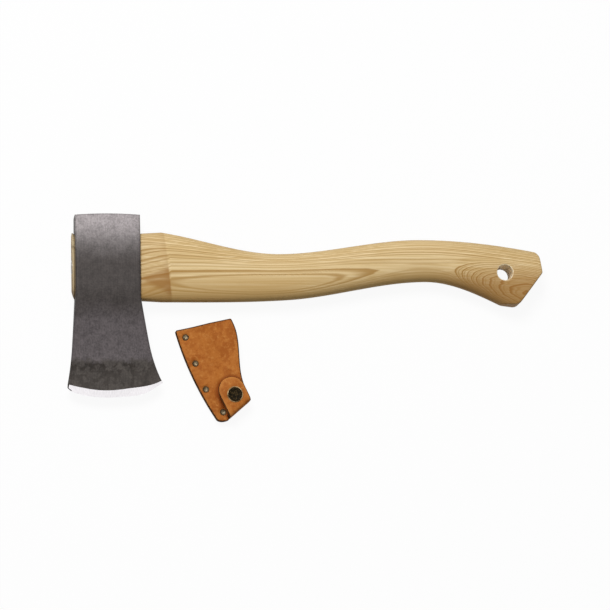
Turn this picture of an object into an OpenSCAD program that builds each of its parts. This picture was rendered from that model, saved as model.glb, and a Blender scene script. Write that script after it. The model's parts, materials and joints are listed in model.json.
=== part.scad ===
// Carving hatchet with its riveted leather edge cover lying beside it.
// Lengths are in millimetres. X runs from the eye to the butt, Y from the edge to the poll, Z up.
// The origin is the middle of the eye, on the surface that the hatchet lies on.

/* [Head] */
// Length of the head along the handle
head_l = 49.6; // [44:0.5:56]
// Height of the eye
eye_h = 50; // [44:0.5:54]
// Width of the eye at its front mouth
eye_w = 17; // [14:0.5:19]
// How much narrower the eye is at its back mouth
eye_draft = 2; // [1:0.1:3]
// Steel left on each side of the eye
eye_wall = 3.5; // [2.2:0.05:4]
// Steel from the eye up to the poll's striking face
poll_wall = 15.2; // [10:0.5:20]
// How far the striking face falls away at its corners
poll_crown = 1; // [0.4:0.1:2]
// Thickness that each cheek loses between the eye and the poll
poll_draft = 2; // [1:0.1:3]
// Flat land of each cheek above the middle of the eye
land_up = 6; // [2:0.5:12]
// Flat land of each cheek below the middle of the eye
land_down = 14; // [10:0.5:18]

/* [Blade] */
// Depth of the blade from the eye down to the cutting edge
blade_l = 75; // [65:0.5:85]
// Radius of the cutting edge
edge_r = 86; // [80:1:110]
// Distance of the edge's lowest point in front of the eye's middle
edge_lead = 1; // [0:0.1:3]
// Reach of the toe corner past the head's front
toe_flare = 7; // [4:0.1:11]
// Reach of the heel corner past the head's back
heel_flare = 16.4; // [12:0.1:21]
// Lean of the toe side below the eye in degrees
toe_lean = 3.9; // [2:0.1:6]
// Lean of the heel side below the eye in degrees
heel_lean = 10.7; // [8:0.1:13]
// Straight length of the toe side before it flares
toe_run = 36; // [28:0.5:42]
// Straight length of the heel side before it flares
heel_run = 34; // [26:0.5:40]
// Thickness of the blade just above the ground bevel
blade_t = 2.8; // [2.2:0.1:3.6]
// Distance from the edge to where the hollow of the cheek runs out
hollow_end = 8; // [6:0.5:12]
// Radius of the swell between the land and the hollow
swell_r = 70; // [50:1:90]
// Half angle of the ground bevel in degrees
bevel_a = 14.5; // [12:0.5:18]

/* [Handle] */
// Length of the handle from the tang's end to the butt
handle_l = 361.4; // [330:0.1:390]
// Height that the tang stands proud of the head's front
tang_proud = 2.1; // [1:0.1:4]
// Depth of the bevel on the lower end of the tang's front
tang_bevel = 1.9; // [1:0.1:2]
// Height of that bevel
tang_bevel_h = 7; // [4:0.5:10]
// Fit between the tang and the eye on each side
tang_fit = 0.05; // [0.03:0.01:0.1]
// Step from the tang up to the seat behind the head
seat_step = 0.6; // [0.4:0.1:1]
// Distance from the head's back to the shoulder
shoulder_run = 16.5; // [12:0.5:22]
// How much the shoulder stands above and below the eye
shoulder_step = 1.9; // [1:0.1:3]
// How far the shoulder line bows towards the butt on each side
shoulder_bow = 5; // [2:0.5:7]
// Thickness of the handle at the shoulder
shoulder_t = 21; // [19:0.5:24]
// Place of the back's lowest dip, as a share of the way from shoulder to butt
throat_ratio = 0.3065; // [0.26:0.0005:0.35]
// Height of that dip above the eye's middle
throat_y = 10.3; // [7:0.1:13]
// Place of the back's crest, as a share of the same way
crest_ratio = 0.678; // [0.64:0.001:0.72]
// Height of the crest above the eye's middle
crest_y = 21.4; // [17:0.1:24]
// Thickness of the handle at the crest
grip_t = 20.5; // [18:0.5:23]
// Depth of the belly beside the dip
belly_y = 25; // [22:0.1:28]
// Depth of the hollow beside the crest
hollow_y = 11; // [8:0.1:14]
// Place of the foot's tip, as a share of the same way
foot_ratio = 0.925; // [0.9:0.001:0.945]
// Depth of the foot's tip before it is rounded
foot_y = 34.4; // [31:0.1:39]
// Depth of the flat under the foot
sole_y = 29.9; // [27:0.1:31]
// Length of that flat
sole_l = 14.3; // [10:0.1:18]
// Height of the back at the butt
butt_y = 11.2; // [7:0.1:14]
// Height of the corner where the slant cut starts below the eye's middle
slant_y = 5.5; // [2:0.1:9]
// Roundness of the sections, two is an ellipse
grip_n = 2.4; // [2.1:0.1:3]

/* [Lanyard hole] */
// Diameter of the lanyard hole
lanyard_d = 12; // [8:0.1:13]
// Distance from the butt to the middle of the hole
lanyard_in = 29.6; // [26:0.1:36]
// Height of the hole above the middle of the foot
lanyard_up = 1.6; // [0:0.1:4]

/* [Wedges] */
// Thickness of the wooden wedge at its wide end
wedge_t = 5; // [4:0.1:6]
// Thickness of the wooden wedge at its tip
wedge_tip = 1.2; // [0.8:0.1:2]
// Length of the wooden wedge
wedge_l = 36; // [28:0.5:42]
// Kerf left open below the wedge's tip
kerf_spare = 2; // [1:0.5:4]
// Fit between each wedge and the wood on each side
wedge_fit = 0.03; // [0.02:0.01:0.06]
// Outer diameter of the ring wedge
ring_d = 11; // [9:0.1:12]
// Wall of the ring wedge
ring_wall = 1.3; // [1:0.1:1.6]
// Depth of the ring wedge
ring_l = 12; // [8:0.5:16]

/* [Edge cover] */
// Thickness of the leather
hide_t = 2.4; // [2:0.1:3]
// Length that the seam has over the blade's edge
seam_spare = 8; // [6:0.5:12]
// How far the seam bows out
seam_bow = 3.4; // [2:0.1:5]
// Width of the cover at the toe
toe_w = 42.2; // [38:0.1:46]
// Width of the cover at the heel
heel_w = 29; // [28.6:0.1:34]
// Rake of the toe end in degrees
toe_rake = 13.2; // [8:0.1:16]
// Rake of the heel end in degrees
heel_rake = 15.7; // [12:0.1:18]
// Start of the mouth's step from the heel corner
mouth_from = 19; // [17:0.5:25]
// End of the mouth's step from the heel corner
mouth_to = 67; // [60:0.5:69]
// Radius of the corner between seam and heel
heel_round = 7; // [5:0.5:7]
// Radius of the corner between toe and mouth
toe_round = 1.2; // [1:0.1:4]
// Radius of the corner between toe and seam
seam_round = 1; // [0.5:0.1:2]
// Width of the welt
welt_w = 9.1; // [9:0.1:10]
// Width of the formed rise beside the welt
rise_w = 5.2; // [5:0.1:5.2]
// Room between the blade and the panels at the mouth
pocket_slack = 0.5; // [0.3:0.1:1.2]

/* [Flap and snap] */
// Width of the flap
flap_w = 20.5; // [18:0.1:20.6]
// Distance from the heel corner to the flap's side
flap_in = 7.9; // [7.6:0.1:9]
// Distance from the heel corner to the middle of the flap's round end
flap_l = 20.8; // [20:0.1:24]
// Room between the flap and the front panel
flap_gap = 2; // [1.8:0.1:2.6]
// Outer radius of the fold's bends
fold_r = 4; // [3.2:0.1:4.6]
// Room between the fold and the panels' ends
fold_gap = 0.5; // [0.4:0.1:1]
// Room between the two halves of the fold
fold_slit = 0.2; // [0.1:0.05:0.4]
// Distance from the flap's round end back to the snap
snap_back = 4.1; // [3:0.1:5]
// Distance of the snap from the flap's middle towards the mouth
snap_side = 0.5; // [0:0.1:1.5]
// Diameter of the snap's cap
snap_d = 12.4; // [11:0.1:13.5]
// Height of the snap's cap
snap_h = 1.7; // [1.2:0.1:2.4]
// Diameter of the snap's socket
socket_d = 9.8; // [9:0.1:10.6]
// Diameter of the snap's stud
stud_d = 4.2; // [3.6:0.1:4.6]
// Diameter of the snap's posts
post_d = 3.2; // [2.8:0.1:3.4]
// Thickness of the snap's plates
plate_t = 0.6; // [0.5:0.05:0.7]
// Room round the stud inside the socket
stud_gap = 0.4; // [0.3:0.05:0.6]

/* [Rivets] */
// Diameter of the rivet caps
rivet_d = 5; // [4.4:0.1:5.4]
// Height of the front caps
rivet_h = 1.2; // [0.9:0.1:1.6]
// Thickness of the back caps
rivet_back_h = 0.7; // [0.5:0.1:0.9]
// Depth that the front caps are pressed into the leather
rivet_dip = 0.5; // [0.2:0.1:0.6]
// Distance from the seam's edge to the rivets
rivet_in = 6; // [5.6:0.1:6.2]
// Distance from the heel corner to the first rivet
rivet_first = 9; // [8:0.1:11]
// Distance from the last rivet to the toe corner
rivet_last = 8.1; // [7:0.1:11]
// Extra distance of the first rivet from the rounded corner
rivet_shift = 1; // [0:0.1:1.2]
// How much nearer to the seam the second rivet sits
rivet_draw = 1.4; // [0:0.1:1.6]
// Diameter of the rivets' posts
pin_d = 2.4; // [2:0.1:2.6]
// Fit round the rivets and the snap's posts on each side
pin_fit = 0.05; // [0.03:0.01:0.1]

/* [Layout] */
// Gap from the heel corner to the cover's toe corner
cover_gap_x = 10.6; // [6:0.1:40]
// Gap from the belly to the cover's highest corner
cover_gap_y = 12.1; // [6:0.1:40]
// Turn of the cover in degrees
cover_turn = 25; // [10:1:40]

/* [Hidden] */
$fn = 64;
steel = [0.45, 0.43, 0.43];
hickory = [0.80, 0.68, 0.48];
wedge_wood = [0.68, 0.54, 0.36];
bright = [0.62, 0.62, 0.63];
tan_hide = [0.66, 0.40, 0.18];
dark_hide = [0.45, 0.27, 0.13];
brass = [0.62, 0.52, 0.33];
black = [0.13, 0.12, 0.10];
// Overlap of cutting solids past the faces that they cut
over = 1;
// Reach of planes that cut right across a piece
far = 300;
// Points round one section of the handle
section_n = 28;
// Length between sections of the handle
section_run = 5;
// Steps along one rounded corner and along one curve
round_steps = 8;
curve_steps = 14;
// Flat left at the very edge so that the blade is a closed solid
edge_land = 0.1;

head_t = eye_w + 2 * eye_wall;
mid_z = head_t / 2;
head_half = head_l / 2;
eye_half = eye_h / 2;
poll_y = eye_half + poll_wall;
crown_r = (pow(head_half, 2) + pow(poll_crown, 2)) / (2 * poll_crown);
draft_r = (pow(poll_y - land_up, 2) + pow(poll_draft, 2)) / (2 * poll_draft);
edge_low = -(eye_half + blade_l);
toe_reach = head_half + toe_flare;
heel_reach = head_half + heel_flare;
edge_c = [-edge_lead, edge_low + edge_r];
toe = [-toe_reach, edge_c[1] - sqrt(pow(edge_r, 2) - pow(toe_reach - edge_lead, 2))];
heel = [heel_reach, edge_c[1] - sqrt(pow(edge_r, 2) - pow(heel_reach + edge_lead, 2))];
flare_y = -eye_half;
toe_bend = [-head_half - toe_run * tan(toe_lean), flare_y - toe_run];
heel_bend = [head_half + heel_run * tan(heel_lean), flare_y - heel_run];
toe_in = [-cos(toe_lean), sin(toe_lean)];
heel_in = [cos(heel_lean), sin(heel_lean)];
toe_flare_r = pow(norm(toe - toe_bend), 2) / (2 * ((toe - toe_bend) * toe_in));
heel_flare_r = pow(norm(heel - heel_bend), 2) / (2 * ((heel - heel_bend) * heel_in));
toe_flare_c = toe_bend + toe_flare_r * toe_in;
heel_flare_c = heel_bend + heel_flare_r * heel_in;

// The cheek swells off the land and runs tangent into the hollow
hollow_y0 = edge_low + hollow_end;
cheek_drop = (head_t - blade_t) / 2;
cheek_run = -land_down - hollow_y0;
cheek_rs = (pow(cheek_run, 2) + pow(cheek_drop, 2)) / (2 * cheek_drop);
hollow_r = cheek_rs - swell_r;
swell_run = cheek_run * swell_r / cheek_rs;

// Half thickness of the blade at a height below the land
function cheek_half(y) = y > -land_down - swell_run
    ? head_t / 2 - swell_r + sqrt(pow(swell_r, 2) - pow(y + land_down, 2))
    : y > hollow_y0
    ? blade_t / 2 + hollow_r - sqrt(pow(hollow_r, 2) - pow(y - hollow_y0, 2))
    : blade_t / 2;

// Handle stations
tang_x = -head_half - tang_proud;
seat_x = head_half + tang_fit;
shoulder_x = head_half + shoulder_run;
butt_x = tang_x + handle_l;
throat_x = shoulder_x + throat_ratio * (butt_x - shoulder_x);
crest_x = shoulder_x + crest_ratio * (butt_x - shoulder_x);
foot_x = shoulder_x + foot_ratio * (butt_x - shoulder_x);
shoulder_half = eye_half + shoulder_step;
// The belly's keys lie a little behind the back's, and each key has a slope
belly_shift = 9;
hollow_shift = 5;
back_fall = -0.15;
butt_fall = -0.2;
belly_rise = 0.07;
foot_fall = -0.5;
back_keys = [[shoulder_x, shoulder_half, back_fall], [throat_x, throat_y, 0],
    [crest_x, crest_y, 0], [butt_x, butt_y, butt_fall]];
belly_keys = [[shoulder_x, -shoulder_half, 0], [throat_x + belly_shift, -belly_y, belly_rise],
    [crest_x + hollow_shift, -hollow_y, 0], [foot_x, -foot_y, foot_fall]];
foot_t = head_t;
lanyard_x = butt_x - lanyard_in;
lanyard_y = (key_y(back_keys, lanyard_x) + key_y(belly_keys, lanyard_x)) / 2 + lanyard_up;

// Cover levels from the surface up
seam_l = toe_reach + heel_reach + seam_spare;
mouth_depth = toe_w - welt_w;
pocket_gap = 2 * cheek_half(edge_low + mouth_depth) + pocket_slack;
flange_z = 2 * hide_t;
plateau_z = hide_t + pocket_gap;
front_z = plateau_z + hide_t;
flap_z = front_z + flap_gap;
flap_top = flap_z + hide_t;
fold_z = flap_top / 2;
seam_r = (pow(seam_l / 2, 2) + pow(seam_bow, 2)) / (2 * seam_bow);
toe_tip = [toe_w, seam_l - toe_w * tan(toe_rake)];
flap_mid = flap_in + flap_w / 2;
snap_pos = [flap_mid + snap_side, flap_l - snap_back];
relief = (hide_t + fold_gap) / cos(heel_rake);
relief_u = flap_in - fold_gap;
cover_a = [heel_reach + cover_gap_x, -shoulder_half - cover_gap_y];
seam_dir = [-sin(cover_turn), cos(cover_turn)];
tip_dir = [cos(cover_turn), sin(cover_turn)];
cover_x = cover_a[0] - seam_l * seam_dir[0];
cover_y = cover_a[1] - toe_tip[0] * tip_dir[1] - toe_tip[1] * seam_dir[1];
// The stud stops short of the socket's web, and the socket short of the stud's plate
snap_room = 0.15;
web_t = 0.4;
stud_cap = 0.3;
stud_z = front_z + plate_t;
socket_z = stud_z + snap_room;
socket_web = flap_z - web_t;
stud_top = socket_web - snap_room;
stud_trim = 0.4;
post_trim = 0.6;
// The eye's ends are a little rounder than its front mouth is wide
eye_ease = 0.2;
// Roundness of the seat's section behind the head
seat_n = 5;
// Length over which the shoulder's bow fades, in bows
bow_fade = 6;
// Rivet posts stop above the back caps, and the holes leave a wall for the tubes
rivet_n = 4;
rivet_end = 0.3;
hole_wall = 0.45;

// Smooth step from nought to one
function ease(s) = s <= 0 ? 0 : s >= 1 ? 1 : s * s * (3 - 2 * s);

// Cubic between two keys that hold a place, a height and a slope
function cubic(a, b, x) = let (w = b[0] - a[0], s = (x - a[0]) / w)
    (1 + 2 * s) * pow(1 - s, 2) * a[1] + s * s * (3 - 2 * s) * b[1]
    + w * (s * pow(1 - s, 2) * a[2] + s * s * (s - 1) * b[2]);

// Height of a line of keys, straight on past its last key
function key_y(k, x) = x < k[1][0] ? cubic(k[0], k[1], x)
    : x < k[2][0] ? cubic(k[1], k[2], x)
    : x < k[3][0] ? cubic(k[2], k[3], x)
    : k[3][1] + k[3][2] * (x - k[3][0]);

// Thickness of the handle along its length
function thick(x) = x < crest_x
    ? shoulder_t + (grip_t - shoulder_t) * ease((x - shoulder_x) / (crest_x - shoulder_x))
    : grip_t + (foot_t - grip_t) * ease((x - crest_x) / (lanyard_x - crest_x));

// Signed power for rounded sections
function arch(v, n) = sign(v) * pow(abs(v), 2 / n);

// One section of the handle as points
function section(x, mid, high, wide, n, bow) = [for (i = [0 : section_n - 1])
    let (a = 360 * i / section_n)
    [x + bow * pow(cos(a), 2), mid + high * arch(sin(a), n), mid_z + wide * arch(cos(a), n)]];

// One section taken from the back and belly lines
function grip_section(x) = let (t = key_y(back_keys, x), b = key_y(belly_keys, x))
    section(x, (t + b) / 2, (t - b) / 2, thick(x) / 2, grip_n,
        shoulder_bow * max(0, 1 - (x - shoulder_x) / (bow_fade * shoulder_bow)));

// Outline with each corner rounded by its own radius, as places and radii
function rounded(p) = [for (i = [0 : len(p) - 1])
    let (n = len(p), q = p[i], a = p[(i + n - 1) % n], b = p[(i + 1) % n],
        c = [q[0], q[1]], u = unit([a[0], a[1]] - c), v = unit([b[0], b[1]] - c),
        half = acos(u * v) / 2, m = unit(u + v), o = c + m * q[2] / sin(half),
        s = atan2((c + u * q[2] / tan(half) - o)[1], (c + u * q[2] / tan(half) - o)[0]),
        d = 2 * (half - 90) * sign(cross(u, v)))
    each q[2] == 0 ? [c] : [for (j = [0 : round_steps])
        o + q[2] * [cos(s + d * j / round_steps), sin(s + d * j / round_steps)]]];
function unit(v) = v / norm(v);

// Bowed seam side of the cover at a distance from the heel corner
function seam_u(v) = seam_r - seam_bow - sqrt(pow(seam_r, 2) - pow(v - seam_l / 2, 2));

// Mouth side of the cover at a distance from the heel corner
function mouth_u(v) = heel_w + (toe_w - heel_w) * ease((v - mouth_from) / (mouth_to - mouth_from));

// Outer heel line of the cover at a distance from the seam
function heel_v(u) = u * tan(heel_rake);

// Panel outline with the heel end let in for the fold
mouth_v0 = heel_v(heel_w) + relief;
panel_outline = rounded(concat(
    [for (i = [0 : curve_steps]) let (v = heel_round + (seam_l - heel_round) * i / curve_steps)
        [seam_u(v), v, i == curve_steps ? seam_round : 0]],
    [for (i = [0 : curve_steps]) let (v = toe_tip[1] + (mouth_v0 - toe_tip[1]) * i / curve_steps)
        [mouth_u(v), v, i == 0 ? toe_round : 0]],
    [[relief_u, heel_v(relief_u) + relief, 0], [relief_u, heel_v(relief_u), 0]],
    [for (i = [0 : round_steps]) let (a = 90 * i / round_steps)
        [heel_round * (1 - sin(a)) + seam_u(heel_round) * sin(a),
            heel_round * (1 - cos(a)) + heel_v(heel_round) * cos(a), 0]]));
rivet_pitch = (seam_l - rivet_first - rivet_last) / (rivet_n - 1);
rivet_v = [for (i = [0 : rivet_n - 1]) rivet_first + i * rivet_pitch];
rivet_u = [for (i = [0 : rivet_n - 1])
    seam_u(rivet_v[i]) + rivet_in + (i == 0 ? rivet_shift : i == 1 ? -rivet_draw : 0)];

// Side view of the head across the cheeks, as height along Y and half thickness
module cheek_side() {
    up = poll_y - land_up;
    intersection() {
        translate([land_up, 0])
            square([up, head_t / 2]);
        translate([land_up, head_t / 2 - draft_r])
            circle(draft_r);
    }
    translate([-land_down, 0])
        square([land_down + land_up, head_t / 2]);
    intersection() {
        translate([-land_down - swell_run, 0])
            square([swell_run, head_t / 2]);
        translate([-land_down, head_t / 2 - swell_r])
            circle(swell_r);
    }
    difference() {
        translate([edge_low, 0])
            square([-land_down - swell_run - edge_low, head_t / 2]);
        translate([hollow_y0, blade_t / 2 + hollow_r])
            circle(hollow_r);
        translate([edge_low - over, blade_t / 2])
            square([hollow_end + over, head_t]);
    }
}

// Plan of the head with its crowned poll and flared blade
module head_plan() {
    intersection() {
        difference() {
            polygon([[-head_half, poll_y], [head_half, poll_y], [head_half, flare_y], heel_bend, heel,
                [heel[0], edge_low], [toe[0], edge_low], toe, toe_bend, [-head_half, flare_y]]);
            translate(toe_flare_c)
                circle(toe_flare_r);
            translate(heel_flare_c)
                circle(heel_flare_r);
        }
        translate(edge_c)
            circle(edge_r);
        translate([0, poll_y - crown_r])
            circle(crown_r);
    }
}

// Double cone whose rim is the cutting edge
module edge_cone() {
    grind_depth = 2 * edge_r / 3;
    rise = grind_depth * tan(bevel_a);
    land = edge_land / 2;
    translate([edge_c[0], edge_c[1], mid_z])
        rotate_extrude()
            polygon([[0, -rise - land], [edge_r - grind_depth, -rise - land], [edge_r, -land],
                [edge_r, land], [edge_r - grind_depth, rise + land], [0, rise + land]]);
}

// Eye or tang, drawn in by a fit on every side
module eye_form(fit, from_x, to_x) {
    r = eye_w / 2 + eye_ease - fit;
    reach = eye_half - eye_w / 2 - eye_ease;
    slope = eye_draft / 2 / head_l;
    w0 = eye_w / 2 - fit - slope * (from_x + head_half);
    w1 = eye_w / 2 - fit - slope * (to_x + head_half);
    translate([0, 0, mid_z])
        intersection() {
            translate([from_x, 0, 0])
                rotate([90, 0, 90])
                    linear_extrude(to_x - from_x) {
                        square([2 * reach, 2 * r], center = true);
                        translate([reach, 0])
                            circle(r);
                        translate([-reach, 0])
                            circle(r);
                    }
            rotate([90, 0, 0])
                linear_extrude(far, center = true)
                    polygon([[from_x - over, w0 + slope * over], [to_x + over, w1 - slope * over],
                        [to_x + over, slope * over - w1], [from_x - over, -w0 - slope * over]]);
        }
}

// Tapered slot for the wooden wedge, or the wedge's own flanks with a fit
module wedge_form(fit, front, spare) {
    tip_x = tang_x + wedge_l + spare;
    fall = (wedge_t - wedge_tip) / 2 / wedge_l;
    w0 = wedge_t / 2 - fit + fall * front;
    w1 = wedge_tip / 2 - fit - fall * spare;
    translate([0, 0, mid_z])
        rotate([90, 0, 0])
            linear_extrude(far, center = true)
                polygon([[tang_x - front, w0], [tip_x, w1], [tip_x, -w1], [tang_x - front, -w0]]);
}

// Ring driven into the tang's end, or its slot with a fit
module ring_form(fit, front) {
    r = ring_d / 2;
    translate([tang_x, 0, mid_z])
        rotate([0, 90, 0])
            rotate_extrude()
                polygon([[r - ring_wall - fit, -front], [r + fit, -front],
                    [r + fit, ring_l - ring_wall], [r - ring_wall / 2, ring_l + fit],
                    [r - ring_wall - fit, ring_l - ring_wall]]);
}

// Handle behind the head as one run of sections
module grip() {
    runs = ceil((butt_x + over - shoulder_x) / section_run);
    seat = section(seat_x, 0, eye_half + seat_step, (eye_w - eye_draft) / 2 + seat_step,
        seat_n, 0);
    rows = concat([seat], [for (i = [0 : runs])
        grip_section(shoulder_x + (butt_x + over - shoulder_x) * i / runs)]);
    n = section_n;
    last = len(rows) - 1;
    polyhedron(
        points = [for (r = rows) each r],
        faces = concat(
            [[for (j = [n - 1 : -1 : 0]) j]],
            [[for (j = [0 : n - 1]) last * n + j]],
            [for (i = [0 : last - 1]) for (j = [0 : n - 1]) for (h = [0, 1])
                h == 0 ? [i * n + j, i * n + (j + 1) % n, (i + 1) * n + (j + 1) % n]
                : [i * n + j, (i + 1) * n + (j + 1) % n, (i + 1) * n + j]]));
}

// Everything beyond the sawn butt
module butt_waste() {
    line = 0.4;
    span = butt_x - crest_x;
    back = butt_y + line;
    lead = 2;
    foot_in = 25;
    top_round = 8.5;
    end_round = 2.5;
    tip_round = 6;
    sole_round = 16;
    sole_rise = 1;
    sole_x = butt_x - (butt_x - foot_x) * (sole_y - slant_y) / (foot_y - slant_y);
    translate([0, 0, -over])
        linear_extrude(head_t + 2 * over)
            difference() {
                translate([crest_x, -far / 2])
                    square([far, far]);
                polygon(rounded([[crest_x - over, back - butt_fall * span, 0],
                    [butt_x - lead, back - butt_fall * lead, top_round],
                    [butt_x, -slant_y, end_round],
                    [sole_x, -sole_y, tip_round],
                    [sole_x - sole_l, sole_rise - sole_y, sole_round],
                    [foot_x - foot_in, -foot_y - foot_fall * foot_in - line, 0],
                    [crest_x - over, -foot_y, 0]]));
            }
}

// Bevel cut off the lower end of the tang's front
module tang_waste() {
    translate([0, 0, -over])
        linear_extrude(head_t + 2 * over)
            polygon([[tang_x - over, tang_bevel_h - eye_half], [tang_x, tang_bevel_h - eye_half],
                [tang_x + tang_bevel, -eye_half], [tang_x + tang_bevel, -eye_half - over],
                [tang_x - over, -eye_half - over]]);
}

// Place a piece of the cover beside the hatchet
module lay_cover() {
    translate([cover_x, cover_y, 0])
        rotate([0, 0, cover_turn])
            children();
}

// Run a side view of the fold along the heel line
module along_fold() {
    rotate([0, 0, heel_rake])
        translate([-far / 2, 0, 0])
            rotate([90, 0, 90])
                linear_extrude(far)
                    children();
}

// Side view of one bent half of the fold, the wall's outer face on the left
module bent_side(run, top) {
    inner = fold_r - hide_t;
    polygon(concat(
        [[0, top], [0, fold_r]],
        [for (i = [1 : round_steps]) let (a = 180 + 90 * i / round_steps)
            [fold_r + fold_r * cos(a), fold_r + fold_r * sin(a)]],
        [[run, 0], [run, hide_t]],
        [for (i = [0 : round_steps]) let (a = 270 - 90 * i / round_steps)
            [fold_r + inner * cos(a), fold_r + inner * sin(a)]],
        [[hide_t, top]]));
}

// Strap outline from its round end past the fold
module strap_plan(to_v) {
    below = 2 * hide_t;
    translate([flap_in, -below])
        square([flap_w, to_v + below]);
}

// Holes for the rivets through every layer
module rivet_holes() {
    for (i = [0 : rivet_n - 1])
        translate([rivet_u[i], rivet_v[i], -over])
            cylinder(r = pin_d / 2 + hole_wall + pin_fit, h = front_z + 2 * over);
}

module axe_head() {
    color(steel)
        difference() {
            intersection() {
                linear_extrude(head_t)
                    head_plan();
                translate([-far / 2, 0, mid_z])
                    rotate([90, 0, 90])
                        linear_extrude(far) {
                            cheek_side();
                            mirror([0, 1])
                                cheek_side();
                        }
                edge_cone();
            }
            eye_form(0, -head_half - over, head_half + over);
        }
}

module handle() {
    color(hickory)
        difference() {
            union() {
                eye_form(tang_fit, tang_x, seat_x + over);
                difference() {
                    grip();
                    butt_waste();
                }
            }
            tang_waste();
            wedge_form(0, over, kerf_spare);
            ring_form(wedge_fit, over);
            translate([lanyard_x, lanyard_y, -over])
                cylinder(d = lanyard_d, h = head_t + 2 * over);
        }
}

module wood_wedge() {
    color(wedge_wood)
        difference() {
            intersection() {
                eye_form(tang_fit, tang_x, head_half);
                wedge_form(wedge_fit, over, 0);
            }
            tang_waste();
            ring_form(wedge_fit, over);
        }
}

module ring_wedge() {
    color(bright)
        ring_form(0, 0);
}

module cover_back() {
    color(dark_hide)
        lay_cover()
            difference() {
                union() {
                    linear_extrude(hide_t)
                        polygon(panel_outline);
                    intersection() {
                        linear_extrude(flap_top)
                            strap_plan(heel_v(flap_mid) + fold_r + 2 * relief);
                        along_fold()
                            bent_side(far / 10, fold_z - fold_slit / 2);
                    }
                }
                rivet_holes();
                for (i = [0 : rivet_n - 1])
                    translate([rivet_u[i], rivet_v[i], -over])
                        cylinder(d = rivet_d + 2 * pin_fit, h = rivet_back_h + over);
            }
}

module cover_welt() {
    color(dark_hide)
        lay_cover()
            difference() {
                translate([0, 0, hide_t])
                    linear_extrude(hide_t)
                        intersection() {
                            polygon(panel_outline);
                            translate([-far / 2 + welt_w, -far / 4])
                                square([far / 2, far]);
                        }
                rivet_holes();
            }
}

module cover_front() {
    color(tan_hide)
        lay_cover()
            difference() {
                intersection() {
                    linear_extrude(flap_top)
                        polygon(panel_outline);
                    translate([0, far / 2, 0])
                        rotate([90, 0, 0])
                            linear_extrude(far)
                                front_side();
                }
                rivet_holes();
                for (i = [0 : rivet_n - 1])
                    translate([rivet_u[i], rivet_v[i], flange_z + hide_t - rivet_dip])
                        cylinder(d = rivet_d + 2 * pin_fit, h = hide_t);
                translate([snap_pos[0], snap_pos[1], 0])
                    cylinder(d = post_d + 2 * pin_fit, h = flap_top);
            }
}

// Side view of the front panel across the seam
module front_side() {
    lift = plateau_z - flange_z;
    steps = 2 * round_steps;
    rise = [for (i = [0 : steps])
        [welt_w + rise_w * i / steps, flange_z + lift * ease(i / steps)]];
    polygon(concat(
        [[-2 * seam_bow, flange_z]], rise, [[2 * toe_w, plateau_z], [2 * toe_w, front_z]],
        [for (i = [steps : -1 : 0]) rise[i] + [0, hide_t]],
        [[-2 * seam_bow, flange_z + hide_t]]));
}

module cover_flap() {
    color(tan_hide)
        lay_cover()
            difference() {
                intersection() {
                    linear_extrude(flap_top + over) {
                        strap_plan(flap_l);
                        translate([flap_mid, flap_l])
                            circle(flap_w / 2);
                    }
                    along_fold()
                        translate([0, flap_top])
                            mirror([0, 1])
                                bent_side(far / 2, fold_z - fold_slit / 2);
                }
                translate([snap_pos[0], snap_pos[1], 0])
                    cylinder(d = post_d + 2 * pin_fit, h = flap_top + over);
            }
}

// One front rivet with its post
module rivet(i) {
    top = flange_z + hide_t - rivet_dip;
    rim = 0.4;
    r = rivet_d / 2;
    end = rivet_back_h + rivet_end;
    color(brass)
        lay_cover()
            translate([rivet_u[i], rivet_v[i], 0])
                rotate_extrude()
                    polygon(concat([[0, end], [pin_d / 2, end], [pin_d / 2, top], [r, top]],
                        [for (j = [0 : round_steps]) let (a = 90 * j / round_steps)
                            [r * cos(a), top + rim + (rivet_h - rim) * sin(a)]]));
}

// One back cap with its tube
module rivet_back(i) {
    r = rivet_d / 2;
    bore = pin_d / 2 + pin_fit;
    tube = pin_d / 2 + hole_wall;
    color(brass)
        lay_cover()
            translate([rivet_u[i], rivet_v[i], 0])
                rotate_extrude()
                    polygon([[0, 0], [r, 0], [r, rivet_back_h], [tube, rivet_back_h],
                        [tube, flange_z - hide_t / 2], [bore, flange_z - hide_t / 2],
                        [bore, rivet_back_h], [0, rivet_back_h]]);
}

module rivet_1() {
    rivet(0);
}

module rivet_2() {
    rivet(1);
}

module rivet_3() {
    rivet(2);
}

module rivet_4() {
    rivet(3);
}

module rivet_back_1() {
    rivet_back(0);
}

module rivet_back_2() {
    rivet_back(1);
}

module rivet_back_3() {
    rivet_back(2);
}

module rivet_back_4() {
    rivet_back(3);
}

// Place a turned piece of the snap
module at_snap() {
    lay_cover()
        translate([snap_pos[0], snap_pos[1], 0])
            rotate_extrude()
                children();
}

module snap_cap() {
    r = snap_d / 2;
    rim = 0.5;
    crown = 0.75;
    color(black)
        at_snap()
            polygon(concat(
                [[0, socket_web], [post_d / 2, socket_web], [post_d / 2, flap_top], [r, flap_top]],
                [for (j = [0 : round_steps]) let (a = 90 * j / round_steps)
                    [r * (crown + (1 - crown) * cos(a)), flap_top + rim + (snap_h - rim) * sin(a)]],
                [[0, flap_top + snap_h]]));
}

module snap_socket() {
    r = socket_d / 2;
    bore = stud_d / 2 + stud_gap;
    hole = post_d / 2 + pin_fit;
    color(bright)
        at_snap()
            polygon([[bore, socket_z], [r, socket_z], [r, flap_z], [hole, flap_z], [hole, socket_web],
                [bore, socket_web]]);
}

module snap_stud() {
    r = socket_d / 2 - stud_trim;
    hole = post_d / 2 + pin_fit;
    color(bright)
        at_snap()
            polygon([[hole, front_z], [r, front_z], [r, stud_z], [stud_d / 2, stud_z],
                [stud_d / 2, stud_top], [0, stud_top], [0, stud_top - stud_cap],
                [hole, stud_top - stud_cap]]);
}

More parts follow.
